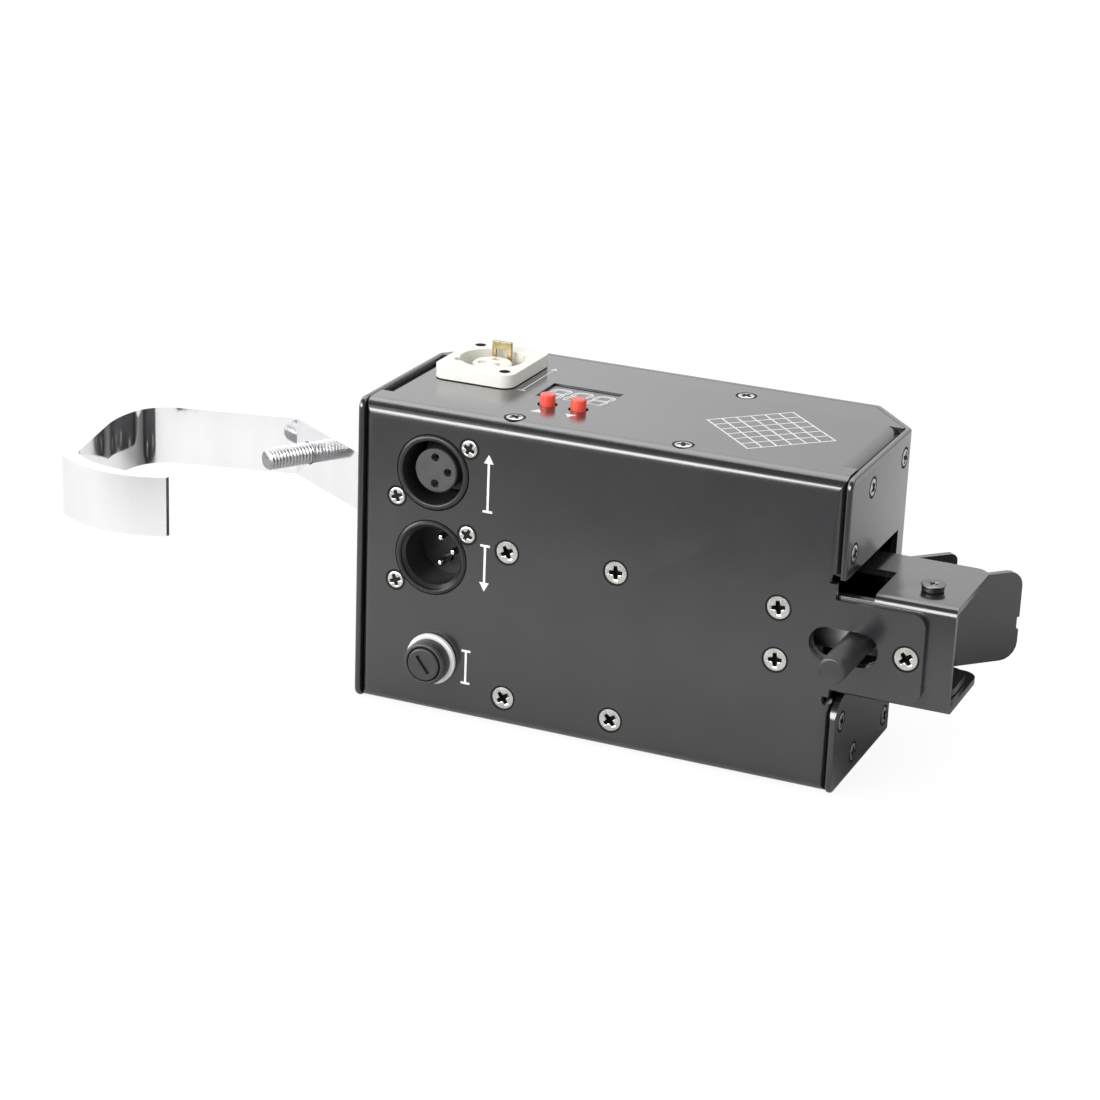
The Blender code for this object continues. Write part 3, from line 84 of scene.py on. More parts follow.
# Studio: a white table in a white room, with a long soft box at the front left that draws a bright
# line along each bend. What looks past the object sees plain white. Polished and coated faces see
# a bright wall behind the object that rises to a brighter ceiling, and a dim front with the soft
# box's band in it. The ramps go by direction, each axis from -1 to 1.
ROOM_LIGHT, WALL_LIGHT, WALL_SIDES, CEILING_LIGHT = (0.40, 1.12), (0.75, 1.42), (1.12, 0.84), 3.0
HORIZON_LIGHT, FRONT_LIGHT, BOX_GLARE = 1.0, 0.2, 5.5
world = bpy.data.worlds.new("white_room")
bpy.context.scene.world = world
world.use_nodes = True
tree = world.node_tree
tree.nodes.clear()


def feed(tree, socket, value):
    """Gives a socket a number, or links it to another socket."""
    if isinstance(value, (int, float)):
        socket.default_value = value
    else:
        tree.links.new(value, socket)


def maths(tree, kind, first, second):
    """The result of one sum on two sockets or numbers."""
    node = tree.nodes.new("ShaderNodeMath")
    node.operation = kind
    feed(tree, node.inputs[0], first)
    feed(tree, node.inputs[1], second)
    return node.outputs[0]


def shared(tree, share, first, second):
    """The first value by its share and the second by the rest."""
    rest = maths(tree, "SUBTRACT", 1.0, share)
    return maths(tree, "ADD", maths(tree, "MULTIPLY", first, share), maths(tree, "MULTIPLY", second, rest))


def ramped(tree, value, start, end, low, high):
    """A smooth change from one level to another while the value goes from start to end."""
    node = tree.nodes.new("ShaderNodeMapRange")
    node.interpolation_type = "SMOOTHSTEP"
    for name, number in (("From Min", start), ("From Max", end), ("To Min", low), ("To Max", high)):
        node.inputs[name].default_value = number
    tree.links.new(value, node.inputs["Value"])
    return node.outputs[0]


def backdrop(strength):
    """A plain white background of a given strength, a number or a socket."""
    node = tree.nodes.new("ShaderNodeBackground")
    node.inputs["Color"].default_value = (1, 1, 1, 1)
    feed(tree, node.inputs["Strength"], strength)
    return node.outputs[0]


def chosen(tree, share, plain, special):
    """Mixes two shaders by a share."""
    node = tree.nodes.new("ShaderNodeMixShader")
    tree.links.new(share, node.inputs[0])
    tree.links.new(plain, node.inputs[1])
    tree.links.new(special, node.inputs[2])
    return node.outputs[0]


path = tree.nodes.new("ShaderNodeLightPath")
looks_at = tree.nodes.new("ShaderNodeSeparateXYZ")
tree.links.new(tree.nodes.new("ShaderNodeTexCoord").outputs["Generated"], looks_at.inputs[0])
aside, ahead, height = looks_at.outputs
wall = maths(tree, "ADD", ramped(tree, height, 0.1, 0.5, *WALL_LIGHT),
             ramped(tree, height, 0.5, 0.97, 0.0, CEILING_LIGHT))
wall = maths(tree, "MULTIPLY", wall, ramped(tree, aside, -0.48, -0.18, *WALL_SIDES))
glare = maths(tree, "MINIMUM", ramped(tree, height, 0.07, 0.13, 0.0, BOX_GLARE),
              ramped(tree, height, 0.5, 0.72, BOX_GLARE, 0.0))
glare = maths(tree, "MULTIPLY", glare, ramped(tree, aside, -0.05, 0.25, 1.0, 0.0))
front = maths(tree, "ADD", ramped(tree, height, -0.05, 0.15, HORIZON_LIGHT, FRONT_LIGHT), glare)
behind = ramped(tree, ahead, -0.06, 0.1, 0.0, 1.0)
mirrored = backdrop(shared(tree, behind, wall, front))
room = backdrop(ramped(tree, height, 0.1, 0.9, *ROOM_LIGHT))
straight = maths(tree, "MAXIMUM", path.outputs["Is Camera Ray"], path.outputs["Is Transmission Ray"])
lit = chosen(tree, path.outputs["Is Glossy Ray"], room, mirrored)
out = tree.nodes.new("ShaderNodeOutputWorld")
tree.links.new(chosen(tree, straight, lit, backdrop(1.0)), out.inputs[0])


def soft_lamp(name, place, target, size, power):
    """A rectangular soft box that faces a point of the object, its long side along X."""
    light = bpy.data.lights.new(name, "AREA")
    light.shape = "RECTANGLE"
    light.size, light.size_y = size
    light.energy = power
    lamp = added(name, light)
    lamp.location = place
    back = (Vector(place) - Vector(target)).normalized()
    across = back.cross(Vector((1, 0, 0))).normalized()
    lamp.rotation_mode = "QUATERNION"
    lamp.rotation_quaternion = Matrix((across.cross(back), across, back)).transposed().to_quaternion()


soft_lamp("front_box", (-0.524, -1.129, 0.50), (0, 0, 0.06), (1.0, 0.63), 12.5)

# Table: one wide white sheet. Looked at, it is plain white with a soft shadow. In coated and
# polished faces it shows painted shade, darker close behind the box where its shadow falls and far
# in front of it, and on its left a painted glow. The ramps go by place.
TABLE_WHITE, TABLE_MIRRORED, TABLE_SHADE = 0.9, 0.84, 0.2
TABLE_FAR, TABLE_BEHIND, TABLE_RIGHT = 0.25, 0.78, 0.8
table_half, table_level, table_glow, glow_share, glow_mirrored = 4.0, -0.3 * MM, 1.05, 0.86, 0.12
table = bmesh.new()
quarters = ((-1, -1), (1, -1), (1, 1), (-1, 1))
table.faces.new([table.verts.new((table_half * x, table_half * y, table_level)) for x, y in quarters])
table_mesh = bpy.data.meshes.new("table_top")
table.to_mesh(table_mesh)
table.free()
table_top = added("table_top", table_mesh)
sheet = bpy.data.materials.new("white_sheet")
sheet.use_nodes = True
tree = sheet.node_tree
matt = tree.nodes["Principled BSDF"]
matt.inputs["Roughness"].default_value = 0.9
matt.inputs["Specular IOR Level"].default_value = 0.1
glow = tree.nodes.new("ShaderNodeEmission")
glow.inputs["Color"].default_value = (1, 1, 1, 1)
glow.inputs["Strength"].default_value = table_glow
spots = tree.nodes.new("ShaderNodeSeparateXYZ")
tree.links.new(tree.nodes.new("ShaderNodeNewGeometry").outputs["Position"], spots.inputs[0])
across, along, _ = spots.outputs
path = tree.nodes.new("ShaderNodeLightPath")
mirrored = path.outputs["Is Glossy Ray"]
# Painted shadow: in reflections the sheet darkens close behind the box.
rear_side = ramped(tree, along, 0.03, 0.24, TABLE_SHADE, TABLE_BEHIND)
left_side = ramped(tree, across, -0.14, -0.05, TABLE_MIRRORED, 0.0)
right_side = ramped(tree, across, 0.16, 0.26, 0.0, TABLE_RIGHT)
rear_side = maths(tree, "MAXIMUM", rear_side, maths(tree, "MAXIMUM", left_side, right_side))
# Painted shade: in reflections the sheet darkens far in front of the box.
front_side = ramped(tree, along, -0.34, -0.10, TABLE_FAR, TABLE_MIRRORED)
near_front = ramped(tree, along, -0.05, 0.0, 1.0, 0.0)
tones = shared(tree, near_front, front_side, rear_side)
tree.links.new(shared(tree, mirrored, tones, TABLE_WHITE), matt.inputs["Base Color"])
# Painted light: in reflections the sheet's left part glows a little.
left_glow = maths(tree, "MULTIPLY", mirrored, ramped(tree, across, -0.22, -0.12, glow_mirrored, 0.0))
seen = maths(tree, "MAXIMUM", path.outputs["Is Camera Ray"], left_glow)
blend = chosen(tree, maths(tree, "MULTIPLY", seen, glow_share), matt.outputs[0], glow.outputs[0])
tree.links.new(blend, tree.nodes["Material Output"].inputs[0])
table_mesh.materials.append(sheet)

# Box: two parts of 2 mm sheet steel, a bent front, top and bottom panel and a wrap for the ends
# and rear, with the fork's bracket behind the front. All three are powder coated in satin black.
(LEFT, _, BOTTOM), (RIGHT, REAR, TOP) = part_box("wrap_cover")
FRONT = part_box("front_shell")[0].y


def finish(name, light, dark, smooth, rough, grain, relief, metal=0.0, streak=(1, 1, 1), patch=14, gloss=0.5,
           skin=0.0):
    """A surface whose colour drifts in soft patches and whose fine grain breaks up the light.

    The sizes of the grain and of the patches and the height of the relief are in millimetres.
    """
    made = bpy.data.materials.new(name)
    made.use_nodes = True
    tree = made.node_tree
    shader = tree.nodes["Principled BSDF"]
    shader.inputs["Metallic"].default_value = metal
    shader.inputs["Specular IOR Level"].default_value = gloss
    shader.inputs["Coat Weight"].default_value = skin
    shader.inputs["Coat Roughness"].default_value = smooth
    places = tree.nodes.new("ShaderNodeTexCoord")
    drawn = tree.nodes.new("ShaderNodeMapping")
    drawn.inputs["Scale"].default_value = streak
    tree.links.new(places.outputs["Object"], drawn.inputs["Vector"])

    def cloud(size, detail):
        noise = tree.nodes.new("ShaderNodeTexNoise")
        noise.inputs["Scale"].default_value = 1 / (size * MM)
        noise.inputs["Detail"].default_value = detail
        tree.links.new(drawn.outputs[0], noise.inputs["Vector"])
        return noise.outputs[0]

    def drift(size, detail, low, high):
        spread = tree.nodes.new("ShaderNodeMapRange")
        for socket, number in (("From Min", 0.3), ("From Max", 0.7), ("To Min", low), ("To Max", high)):
            spread.inputs[socket].default_value = number
        tree.links.new(cloud(size, detail), spread.inputs["Value"])
        return spread.outputs[0]

    tones = tree.nodes.new("ShaderNodeMix")
    tones.data_type = "RGBA"
    for socket in tones.inputs:
        if socket.type == "RGBA":
            socket.default_value = (*(dark if socket.name == "A" else light), 1)
    tree.links.new(drift(patch, 4, 0.0, 1.0), tones.inputs[0])
    colour = [socket for socket in tones.outputs if socket.type == "RGBA"][0]
    tree.links.new(colour, shader.inputs["Base Color"])
    tree.links.new(drift(patch / 5, 3, smooth, rough), shader.inputs["Roughness"])
    bump = tree.nodes.new("ShaderNodeBump")
    bump.inputs["Distance"].default_value = relief * MM
    bump.inputs["Strength"].default_value = 1.0
    tree.links.new(cloud(grain, 2), bump.inputs["Height"])
    tree.links.new(bump.outputs[0], shader.inputs["Normal"])
    tree.links.new(bump.outputs[0], shader.inputs["Coat Normal"])
    return made


facets = bpy.data.node_groups.new("joined_facets", "GeometryNodeTree")
facets.interface.new_socket("Geometry", in_out="INPUT", socket_type="NodeSocketGeometry")
facets.interface.new_socket("Geometry", in_out="OUTPUT", socket_type="NodeSocketGeometry")
weld = facets.nodes.new("GeometryNodeMergeByDistance")
weld.inputs["Distance"].default_value = NEAR_ZERO
plain_normals = facets.nodes.new("GeometryNodeSetMeshNormal")
plain_normals.inputs["Remove Custom"].default_value = True
facets.links.new(facets.nodes.new("NodeGroupInput").outputs[0], weld.inputs["Geometry"])
facets.links.new(weld.outputs[0], plain_normals.inputs["Mesh"])
facets.links.new(plain_normals.outputs[0], facets.nodes.new("NodeGroupOutput").inputs[0])


def broken_edges(part, radius, steps=2):
    """Gives a part's hard edges the small round that bending, moulding or coating leaves."""
    edge = part.modifiers.new("broken_edges", "BEVEL")
    edge.width = radius
    edge.segments = steps
    edge.limit_method = "ANGLE"
    edge.angle_limit = math.radians(36)
    edge.harden_normals = True


def dress(names, surface, radius, steps=2):
    """Finishes frame parts: joined facets, broken edges and the surface."""
    for name in names:
        part = nodes[name]
        part.modifiers.new("joined_facets", "NODES").node_group = facets
        flat = part.modifiers.new("flat_faces", "DECIMATE")
        flat.decimate_type = "DISSOLVE"
        flat.angle_limit = math.radians(0.3)
        broken_edges(part, radius, steps)
        part.data.materials.clear()
        part.data.materials.append(surface)


powder_coat = finish("powder_coat", (0.020, 0.020, 0.022), (0.015, 0.015, 0.017), 0.17, 0.22, 0.6, 0.014,
                     skin=0.9)
dress(["release_bracket"], powder_coat, 0.3 * MM, 3)


def walls(mesh, first, second):
    """Joins two rings of corners with faces."""
    for k in range(len(first)):
        after = (k + 1) % len(first)
        mesh.faces.new((first[k], first[after], second[after], second[k]))


def prism(outline, low, high, turn=Matrix.Identity(4)):
    """A closed outline in X and Y pushed from one height to another, then moved into place."""
    mesh = bmesh.new()
    ends = [[mesh.verts.new((*point, height)) for point in outline] for height in (low, high)]
    mesh.faces.new(ends[0][::-1])
    mesh.faces.new(ends[1])
    walls(mesh, *ends)
    bmesh.ops.recalc_face_normals(mesh, faces=mesh.faces)
    mesh.transform(turn)
    return mesh


def box_shape(low, high):
    """A plain block between two corners."""
    outline = [(low[0], low[1]), (high[0], low[1]), (high[0], high[1]), (low[0], high[1])]
    return prism(outline, low[2], high[2])


def as_mesh(shape, name):
    """A shape as mesh data, smooth but for its hard edges."""
    bmesh.ops.remove_doubles(shape, verts=shape.verts, dist=1e-7)
    bmesh.ops.recalc_face_normals(shape, faces=shape.faces)
    data = bpy.data.meshes.new(name)
    shape.to_mesh(data)
    shape.free()
    shade(data)
    return data


def fit(name, data, surface, body, stands_for=()):
    """Puts a new piece on its body, in its finish, in place of the frame parts it stands for."""
    piece = added(name, data)
    if surface:
        data.materials.clear()
        data.materials.append(surface)
    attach(piece, body)
    if stands_for:
        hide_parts(*stands_for)
    return piece


def facing(place, outward, across):
    """The place and direction of a thing that looks outward, its own X along the panel."""
    outward, across = Vector(outward), Vector(across)
    turn = Matrix((across, outward.cross(across), outward)).transposed().to_4x4()
    turn.translation = place
    return turn


def lathe(profile, turn, segments=64, ring=False):
    """A profile of (radius, height) pairs turned about the Z of its own place."""
    mesh = bmesh.new()
    loops = []
    for radius, height in profile:
        if radius == 0:
            loops.append([mesh.verts.new((0, 0, height))])
            continue
        angles = [2 * math.pi * k / segments for k in range(segments)]
        loops.append([mesh.verts.new((radius * math.cos(a), radius * math.sin(a), height)) for a in angles])
    pairs = list(zip(loops, loops[1:])) + ([(loops[-1], loops[0])] if ring else [])
    for low, high in pairs:
        for k in range(segments):
            after = (k + 1) % segments
            quad = [low[k % len(low)], low[after % len(low)], high[after % len(high)], high[k % len(high)]]
            quad = list(dict.fromkeys(quad))
            if len(quad) > 2:
                mesh.faces.new(quad)
    if not ring:
        for end in (loops[0], loops[-1]):
            if len(end) > 1:
                mesh.faces.new(end)
    bmesh.ops.recalc_face_normals(mesh, faces=mesh.faces)
    mesh.transform(turn)
    return mesh


def shade(data, angle=40):
    """Shades mesh data smooth but for the edges sharper than an angle."""
    data.shade_smooth()
    data.set_sharp_from_angle(angle=math.radians(angle))


def worked(solid, tool, operation="DIFFERENCE"):
    """The solid with the tool cut out of it or joined to it. New faces take the tool's finish."""
    pair = []
    for shape in (solid, tool):
        pair.append(added("blank", shape if isinstance(shape, bpy.types.Mesh) else as_mesh(shape, "blank")))
    step = pair[0].modifiers.new("worked", "BOOLEAN")
    step.operation = operation
    step.object = pair[1]
    step.material_mode = "TRANSFER"
    graph = bpy.context.evaluated_depsgraph_get()
    result = bpy.data.meshes.new_from_object(pair[0].evaluated_get(graph))
    for blank in pair:
        bpy.data.objects.remove(blank)
    return result


def bent(points, radius, steps=8):
    """A path with round bends, as places and the directions to its inner side."""
    track = []
    for k, point in enumerate(points):
        here = Vector(point)
        before = (here - Vector(points[k - 1])).normalized() if k else None
        after = (Vector(points[k + 1]) - here).normalized() if k + 1 < len(points) else None
        if before is None or after is None:
            run = after or before
            track.append((here, Vector((-run.y, run.x))))
            continue
        turn = before.angle_signed(after) * -1
        middle = here - before * radius * math.tan(turn / 2) + Vector((-before.y, before.x)) * radius
        for step in range(steps + 1):
            inward = Matrix.Rotation(turn * step / steps, 2) @ Vector((-before.y, before.x))
            track.append((middle - inward * radius, inward))
    return track


# Places that more than one piece uses. Those on the panels are measured from the left end plate, the
# front panel and the bottom.
SHEET, BEND = 2.0 * MM, 2.5 * MM
slant_x, slant_y = 15.5 * MM, 17.8 * MM
window_low, window_high, window_back = 30.0 * MM, 68.6 * MM, FRONT + 50.6 * MM
socket_hole, foot_hole = 12.3 * MM, 4.2 * MM
foot_y, hook_middle = FRONT + 34.0 * MM, 49.6 * MM
outlet_x, outlet_y = LEFT + 23.7 * MM, FRONT + 46.6 * MM
inlet_x, inlet_z = LEFT + 34.0 * MM, 62.0 * MM
xlr_x, xlr_heights = LEFT + 25.9 * MM, {"out": 79.4 * MM, "in": 51.8 * MM}
along_x = Matrix(((0, 0, 1, 0), (1, 0, 0, 0), (0, 1, 0, 0), (0, 0, 0, 1)))
along_y = Matrix(((1, 0, 0, 0), (0, 0, 1, 0), (0, 1, 0, 0), (0, 0, 0, 1)))


def front_edges(shape):
    """The edges of a shape that lie in the front plane, all but its upright ones."""
    return [edge for edge in shape.edges if all(abs(v.co.y - FRONT) < NEAR_ZERO for v in edge.verts)
            and abs(edge.verts[0].co.z - edge.verts[1].co.z) < NEAR_ZERO]


# Cover: both ends, the rear and its two slants in one strip, with the fork's window in the right end.
# The sheet's free edges were tumbled round before coating, and its front corners are rounded.
strip = bmesh.new()
cover_track = bent([(RIGHT, FRONT), (RIGHT, REAR - slant_y), (RIGHT - slant_x, REAR), (LEFT + slant_x, REAR),
                    (LEFT, REAR - slant_y), (LEFT, FRONT)], BEND)
loops = []
for place, inward in cover_track:
    deep = place + inward * SHEET
    loops.append([strip.verts.new((*spot, height)) for spot, height in
                  ((place, BOTTOM), (place, TOP), (deep, TOP), (deep, BOTTOM))])
for first, second in zip(loops, loops[1:]):
    walls(strip, first, second)
strip.faces.new(loops[0])
strip.faces.new(loops[-1][::-1])
bmesh.ops.recalc_face_normals(strip, faces=strip.faces)
front_corner, edge_round = 3.4 * MM, 0.8 * MM
bmesh.ops.bevel(strip, geom=front_edges(strip), offset=front_corner, segments=6, profile=0.5, affect="EDGES")
rims = [edge for edge in strip.edges if edge.calc_face_angle(0) > math.radians(60)]
bmesh.ops.bevel(strip, geom=rims, offset=edge_round, segments=4, profile=0.5, affect="EDGES")
throat_corner, window_front = 7.0 * MM, FRONT - 5 * MM
window = [(window_front, window_high), (window_back, window_high), (window_back, window_low)]
window += [(FRONT + throat_corner * (1 - math.sin(a)), window_low - throat_corner * (1 - math.cos(a)))
           for a in (math.radians(10 * k) for k in range(10))]
window.append((window_front, window_low - throat_corner))
cover = worked(strip, prism(window, RIGHT - 2 * SHEET, RIGHT + SHEET, along_x))
hole = lathe([(socket_hole, -SHEET * 2), (socket_hole, SHEET)],
             facing((inlet_x, REAR, inlet_z), (0, 1, 0), (-1, 0, 0)), 64)
cover = worked(cover, hole)
hole = lathe([(foot_hole, -SHEET * 2), (foot_hole, SHEET)],
             facing((LEFT, foot_y, hook_middle), (-1, 0, 0), (0, 1, 0)), 48)
cover = worked(cover, hole)
vent_first, vent_pitch, vent_middle = RIGHT - 35.5 * MM, 7.0 * MM, 42.0 * MM
vent_round, vent_straight = 1.5 * MM, 5.5 * MM
for k in range(5):
    across = vent_first - k * vent_pitch
    outline = [(across + vent_round * math.cos(a), vent_middle + math.copysign(vent_straight, math.sin(a))
                + vent_round * math.sin(a)) for a in (math.radians(22.5 * n + 11.25) for n in range(16))]
    cover = worked(cover, prism(outline, REAR - 2 * SHEET, REAR + SHEET, along_y))
shade(cover)
wrapped = fit("wrap_cover_sheet", cover, powder_coat, "housing", ["wrap_cover"])
broken_edges(wrapped, 0.3 * MM, 3)

# Shell: front, top and bottom panels folded from one sheet, with a narrow flange at each end.
# The folds have a wide radius. Relief slots part the end folds from the flat corners, the tab runs
# out over the bracket, and every opening is punched before folding.
shell_fold, seam, flange, slack = 5.2 * MM, 0.4 * MM, 12.0 * MM, 0.3 * MM
clear = SHEET + seam
shell_left, shell_right = LEFT + clear, RIGHT - clear
slant_run = Vector((-slant_x, slant_y)).normalized()
slant_spot = Vector((RIGHT, REAR - slant_y)) + Vector((-slant_run.y, slant_run.x)) * clear
slant_low = slant_spot + slant_run * ((shell_right - slant_spot.x) / slant_run.x)
slant_high = slant_spot + slant_run * ((REAR - clear - slant_spot.y) / slant_run.y)
plan = [(shell_left, FRONT), (shell_right, FRONT), slant_low, slant_high, (-slant_high.x, slant_high.y),
        (-slant_low.x, slant_low.y)]
block = prism(plan, BOTTOM, TOP)
bmesh.ops.bevel(block, geom=front_edges(block), offset=shell_fold, segments=9, profile=0.5, affect="EDGES")
shell = as_mesh(block, "shell_sheet")
fold_start, fold_end, beyond = FRONT + 11.6 * MM, FRONT + 55.6 * MM, 20.0 * MM
upright_fold, relief_long, relief_wide, relief_deep = 2.9 * MM, 4.2 * MM, 0.5 * MM, 4.0 * MM
fold_turns = [math.radians(9 * k) for k in range(11)]


def rounded_off(end, side, level, up, radius):
    """What a fold takes off the corner at an end and a level, drawn 1 mm past both."""
    outline = [(end + side * MM, level + up * MM), (end + side * MM, level - up * radius)]
    outline += [(end - side * radius * (1 - math.cos(a)), level - up * radius * (1 - math.sin(a)))
                for a in fold_turns]
    return outline + [(end - side * radius, level + up * MM)]


for end, side in ((shell_left, -1), (shell_right, 1)):
    shell = worked(shell, prism(rounded_off(end, side, FRONT, -1, upright_fold), BOTTOM - MM, TOP + MM))
    for level, up in ((TOP, 1), (BOTTOM, -1)):
        outline = rounded_off(end, side, level, up, shell_fold)
        shell = worked(shell, prism(outline, fold_start, fold_end, along_y))
        for y in (fold_start, fold_end):
            inside, outer_end = sorted((end - side * relief_long, end + side * MM))
            shell = worked(shell, box_shape((inside, y - relief_wide / 2, level - relief_deep),
                                            (outer_end, y + relief_wide / 2, level + relief_deep)))
past_left, past_right, past_rear = shell_left - beyond, shell_right + beyond, REAR + beyond
floor, ceiling, open_rear, tab_cut = BOTTOM + SHEET, TOP - SHEET, REAR - slant_y - 3 * MM, 2.4 * MM
hollows = (((shell_left + SHEET, FRONT + SHEET, floor), (shell_right - SHEET, past_rear, ceiling)),
           ((past_left, open_rear, floor), (past_right, past_rear, ceiling)),
           ((past_left, FRONT + flange, flange), (past_right, REAR + beyond / 2, TOP - flange)),
           ((shell_right - tab_cut, FRONT - beyond, window_low), (past_right, REAR, window_high)))
for low, high in hollows:
    shell = worked(shell, box_shape(low, high))
latch_height, tab_reach, tab_corner, relief_round = 48.1 * MM, 24.8 * MM, 4.0 * MM, 1.5 * MM
tab_low, tab_high, tab_end = latch_height - 14.0 * MM, latch_height + 14.1 * MM, RIGHT + tab_reach
tab_root, web_root = shell_right - 10 * MM, shell_right - 9 * MM
tab = [(tab_root, tab_high), (tab_root, tab_low)]
for middle, start in ((tab_low + tab_corner, -90), (tab_high - tab_corner, 0)):
    tab += [(tab_end - tab_corner * (1 - math.cos(a)), middle + tab_corner * math.sin(a))
            for a in (math.radians(start + 9 * k) for k in range(11))]
shell = worked(shell, prism(tab, FRONT, FRONT + SHEET, along_y), "UNION")
shell = worked(shell, box_shape((web_root, FRONT, window_low + relief_round),
                                (shell_right - slack, FRONT + SHEET, window_high - relief_round)), "UNION")


def bore(sheet, place, outward, profile, segments=48):
    """The sheet with a round hole of the given (radius, depth) profile, drilled from outside."""
    across = (0, 0, 1) if abs(outward[2]) < 0.5 else (1, 0, 0)
    drill = lathe([(radius, -depth) for radius, depth in profile], facing(place, outward, across), segments)
    return worked(sheet, drill)


def through(radius):
    """The profile of a plain hole through the sheet."""
    return [(radius, -beyond / 2), (radius, beyond)]


xlr_hole, fuse_hole, button_hole = 12.2 * MM, 6.4 * MM, 3.15 * MM
fuse_x, fuse_height = LEFT + 27.3 * MM, 18.8 * MM
button_places, button_y = (53.0 * MM, 63.3 * MM), FRONT + 23.4 * MM
for height in xlr_heights.values():
    shell = bore(shell, (xlr_x, FRONT, height), (0, -1, 0), through(xlr_hole), 96)
shell = bore(shell, (fuse_x, FRONT, fuse_height), (0, -1, 0), through(fuse_hole), 64)
panel_turns = {"panel_screw_1": 28, "panel_screw_2": 2, "panel_screw_3": 8, "panel_screw_4": 2,
               "panel_screw_5": 38, "panel_screw_6": 40, "tab_screw": 38}
sink = [(4.0 * MM, -1 * MM), (4.0 * MM, 0.3 * MM), (2.3 * MM, 2.0 * MM), (2.3 * MM, 12 * MM)]
for low, high in (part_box(name) for name in panel_turns):
    shell = bore(shell, ((low.x + high.x) / 2, FRONT, (low.z + high.z) / 2), (0, -1, 0), sink)
slot_middle, slot_long, slot_high = RIGHT + 0.65 * MM, 21.3 * MM, 10.8 * MM
half_run = (slot_long - slot_high) / 2
slot = [(slot_middle + math.copysign(half_run, math.cos(a)) + slot_high / 2 * math.cos(a),
         latch_height + slot_high / 2 * math.sin(a))
        for a in (math.radians(7.5 * k + 3.75) for k in range(48))]
shell = worked(shell, prism(slot, FRONT - beyond, FRONT + beyond / 2, along_y))
notch, notch_inset = [(1.4 * MM, -beyond), (1.4 * MM, 3 * MM)], 0.9 * MM
for height in (window_low, window_high):
    shell = bore(shell, (shell_right - notch_inset, FRONT, height), (0, -1, 0), notch, 32)
display_x, display_y, display_long, display_wide = LEFT + 57.7 * MM, FRONT + 37.5 * MM, 23.5 * MM, 15.0 * MM
shell = worked(shell, box_shape((display_x - display_long / 2, display_y - display_wide / 2, TOP - beyond),
                                (display_x + display_long / 2, display_y + display_wide / 2, TOP + beyond)))
shell = bore(shell, (outlet_x, outlet_y, TOP), (0, 0, 1), through(socket_hole), 64)
for place in button_places:
    shell = bore(shell, (LEFT + place, button_y, TOP), (0, 0, 1), through(button_hole))
shade(shell)
folded = fit("front_shell_sheet", shell, powder_coat, "housing", ["front_shell"])
broken_edges(folded, 0.25 * MM, 3)

# Panel printing: white ink laid on the coat by screen, a few hundredths of a millimetre thick.
# A slanted grid on the top, two triangles at the buttons, and plain flow marks at the connectors.
INK = 0.04 * MM
ink = finish("white_ink", (0.84, 0.84, 0.84), (0.74, 0.74, 0.74), 0.5, 0.62, 0.3, 0.006, patch=2)
on_top = facing((0, 0, TOP), (0, 0, 1), (1, 0, 0))
on_front = facing((0, FRONT, 0), (0, -1, 0), (0, 0, 1))
grid_place, grid_side, grid_cells, grid_line = Vector((42.4 * MM, -3.9 * MM, TOP)), 29.4 * MM, 6, 0.5 * MM
cell = (grid_side - grid_line) / grid_cells
edges = []
for k in range(grid_cells + 1):
    edges += [k * cell - grid_side / 2, k * cell + grid_line - grid_side / 2]
grid = bmesh.new()
corners = [[grid.verts.new((x, y, 0)) for y in edges] for x in edges]
for i in range(len(edges) - 1):
    for j in range(len(edges) - 1):
        if i % 2 == 0 or j % 2 == 0:
            grid.faces.new((corners[i][j], corners[i + 1][j], corners[i + 1][j + 1], corners[i][j + 1]))
raised = bmesh.ops.extrude_face_region(grid, geom=grid.faces[:])["geom"]
bmesh.ops.translate(grid, verts=[v for v in raised if isinstance(v, bmesh.types.BMVert)], vec=(0, 0, INK))
grid.transform(Matrix.Translation(grid_place) @ Matrix.Rotation(math.radians(45), 4, "Z"))
fit("printed_grid", as_mesh(grid, "printed_grid"), ink, "housing")

wide, high, triangle_row = 1.75 * MM, 1.5 * MM, on_top @ Matrix.Translation((0, -21.6 * MM, 0))
for k, (x, point) in enumerate(((-26.5 * MM, 1), (-16.1 * MM, -1)), 1):
    triangle = [(x - wide, -point * high), (x + wide, -point * high), (x, point * high)]
    mark = prism(triangle, 0, INK, triangle_row)
    fit(f"printed_triangle_{k}", as_mesh(mark, "printed_triangle"), ink, "housing")


def flow_mark(length, width, stroke, heads):
    """A line with an arrow head or a bar at each end, drawn along X from its middle."""
    half, head = length / 2, width * 0.9
    outline = []
    for side, kind in ((1, heads[1]), (-1, heads[0])):
        if kind == "arrow":
            points = [(half - head, -stroke), (half - head, -width / 2), (half, 0), (half - head, width / 2),
                      (half - head, stroke)]
        else:
            points = [(half - 2 * stroke, -stroke), (half - 2 * stroke, -width / 2), (half, -width / 2),
                      (half, width / 2), (half - 2 * stroke, width / 2), (half - 2 * stroke, stroke)]
        outline += [(side * x, side * y) for x, y in points]
    return outline


marks = (("printed_out", on_front, (78.9, -35.0), 18.6, 3.2, 0.36, ("bar", "arrow")),
         ("printed_in", on_front, (51.6, -35.4), 15.2, 3.2, 0.36, ("arrow", "bar")),
         ("printed_fuse", on_front, (17.8, -40.8), 11.4, 3.0, 0.36, ("bar", "bar")),
         ("printed_power", on_top @ Matrix.Rotation(math.pi / 2, 4, "Z"), (8.6, -39.3), 27.0, 2.6, 0.16,
          ("bar", "arrow")))
for name, panel, (along, aside), length, width, stroke, heads in marks:
    outline = flow_mark(length * MM, width * MM, stroke * MM, heads)
    mark = prism(outline, 0, INK, panel @ Matrix.Translation((along * MM, -aside * MM, 0)))
    fit(name, as_mesh(mark, name), ink, "housing")
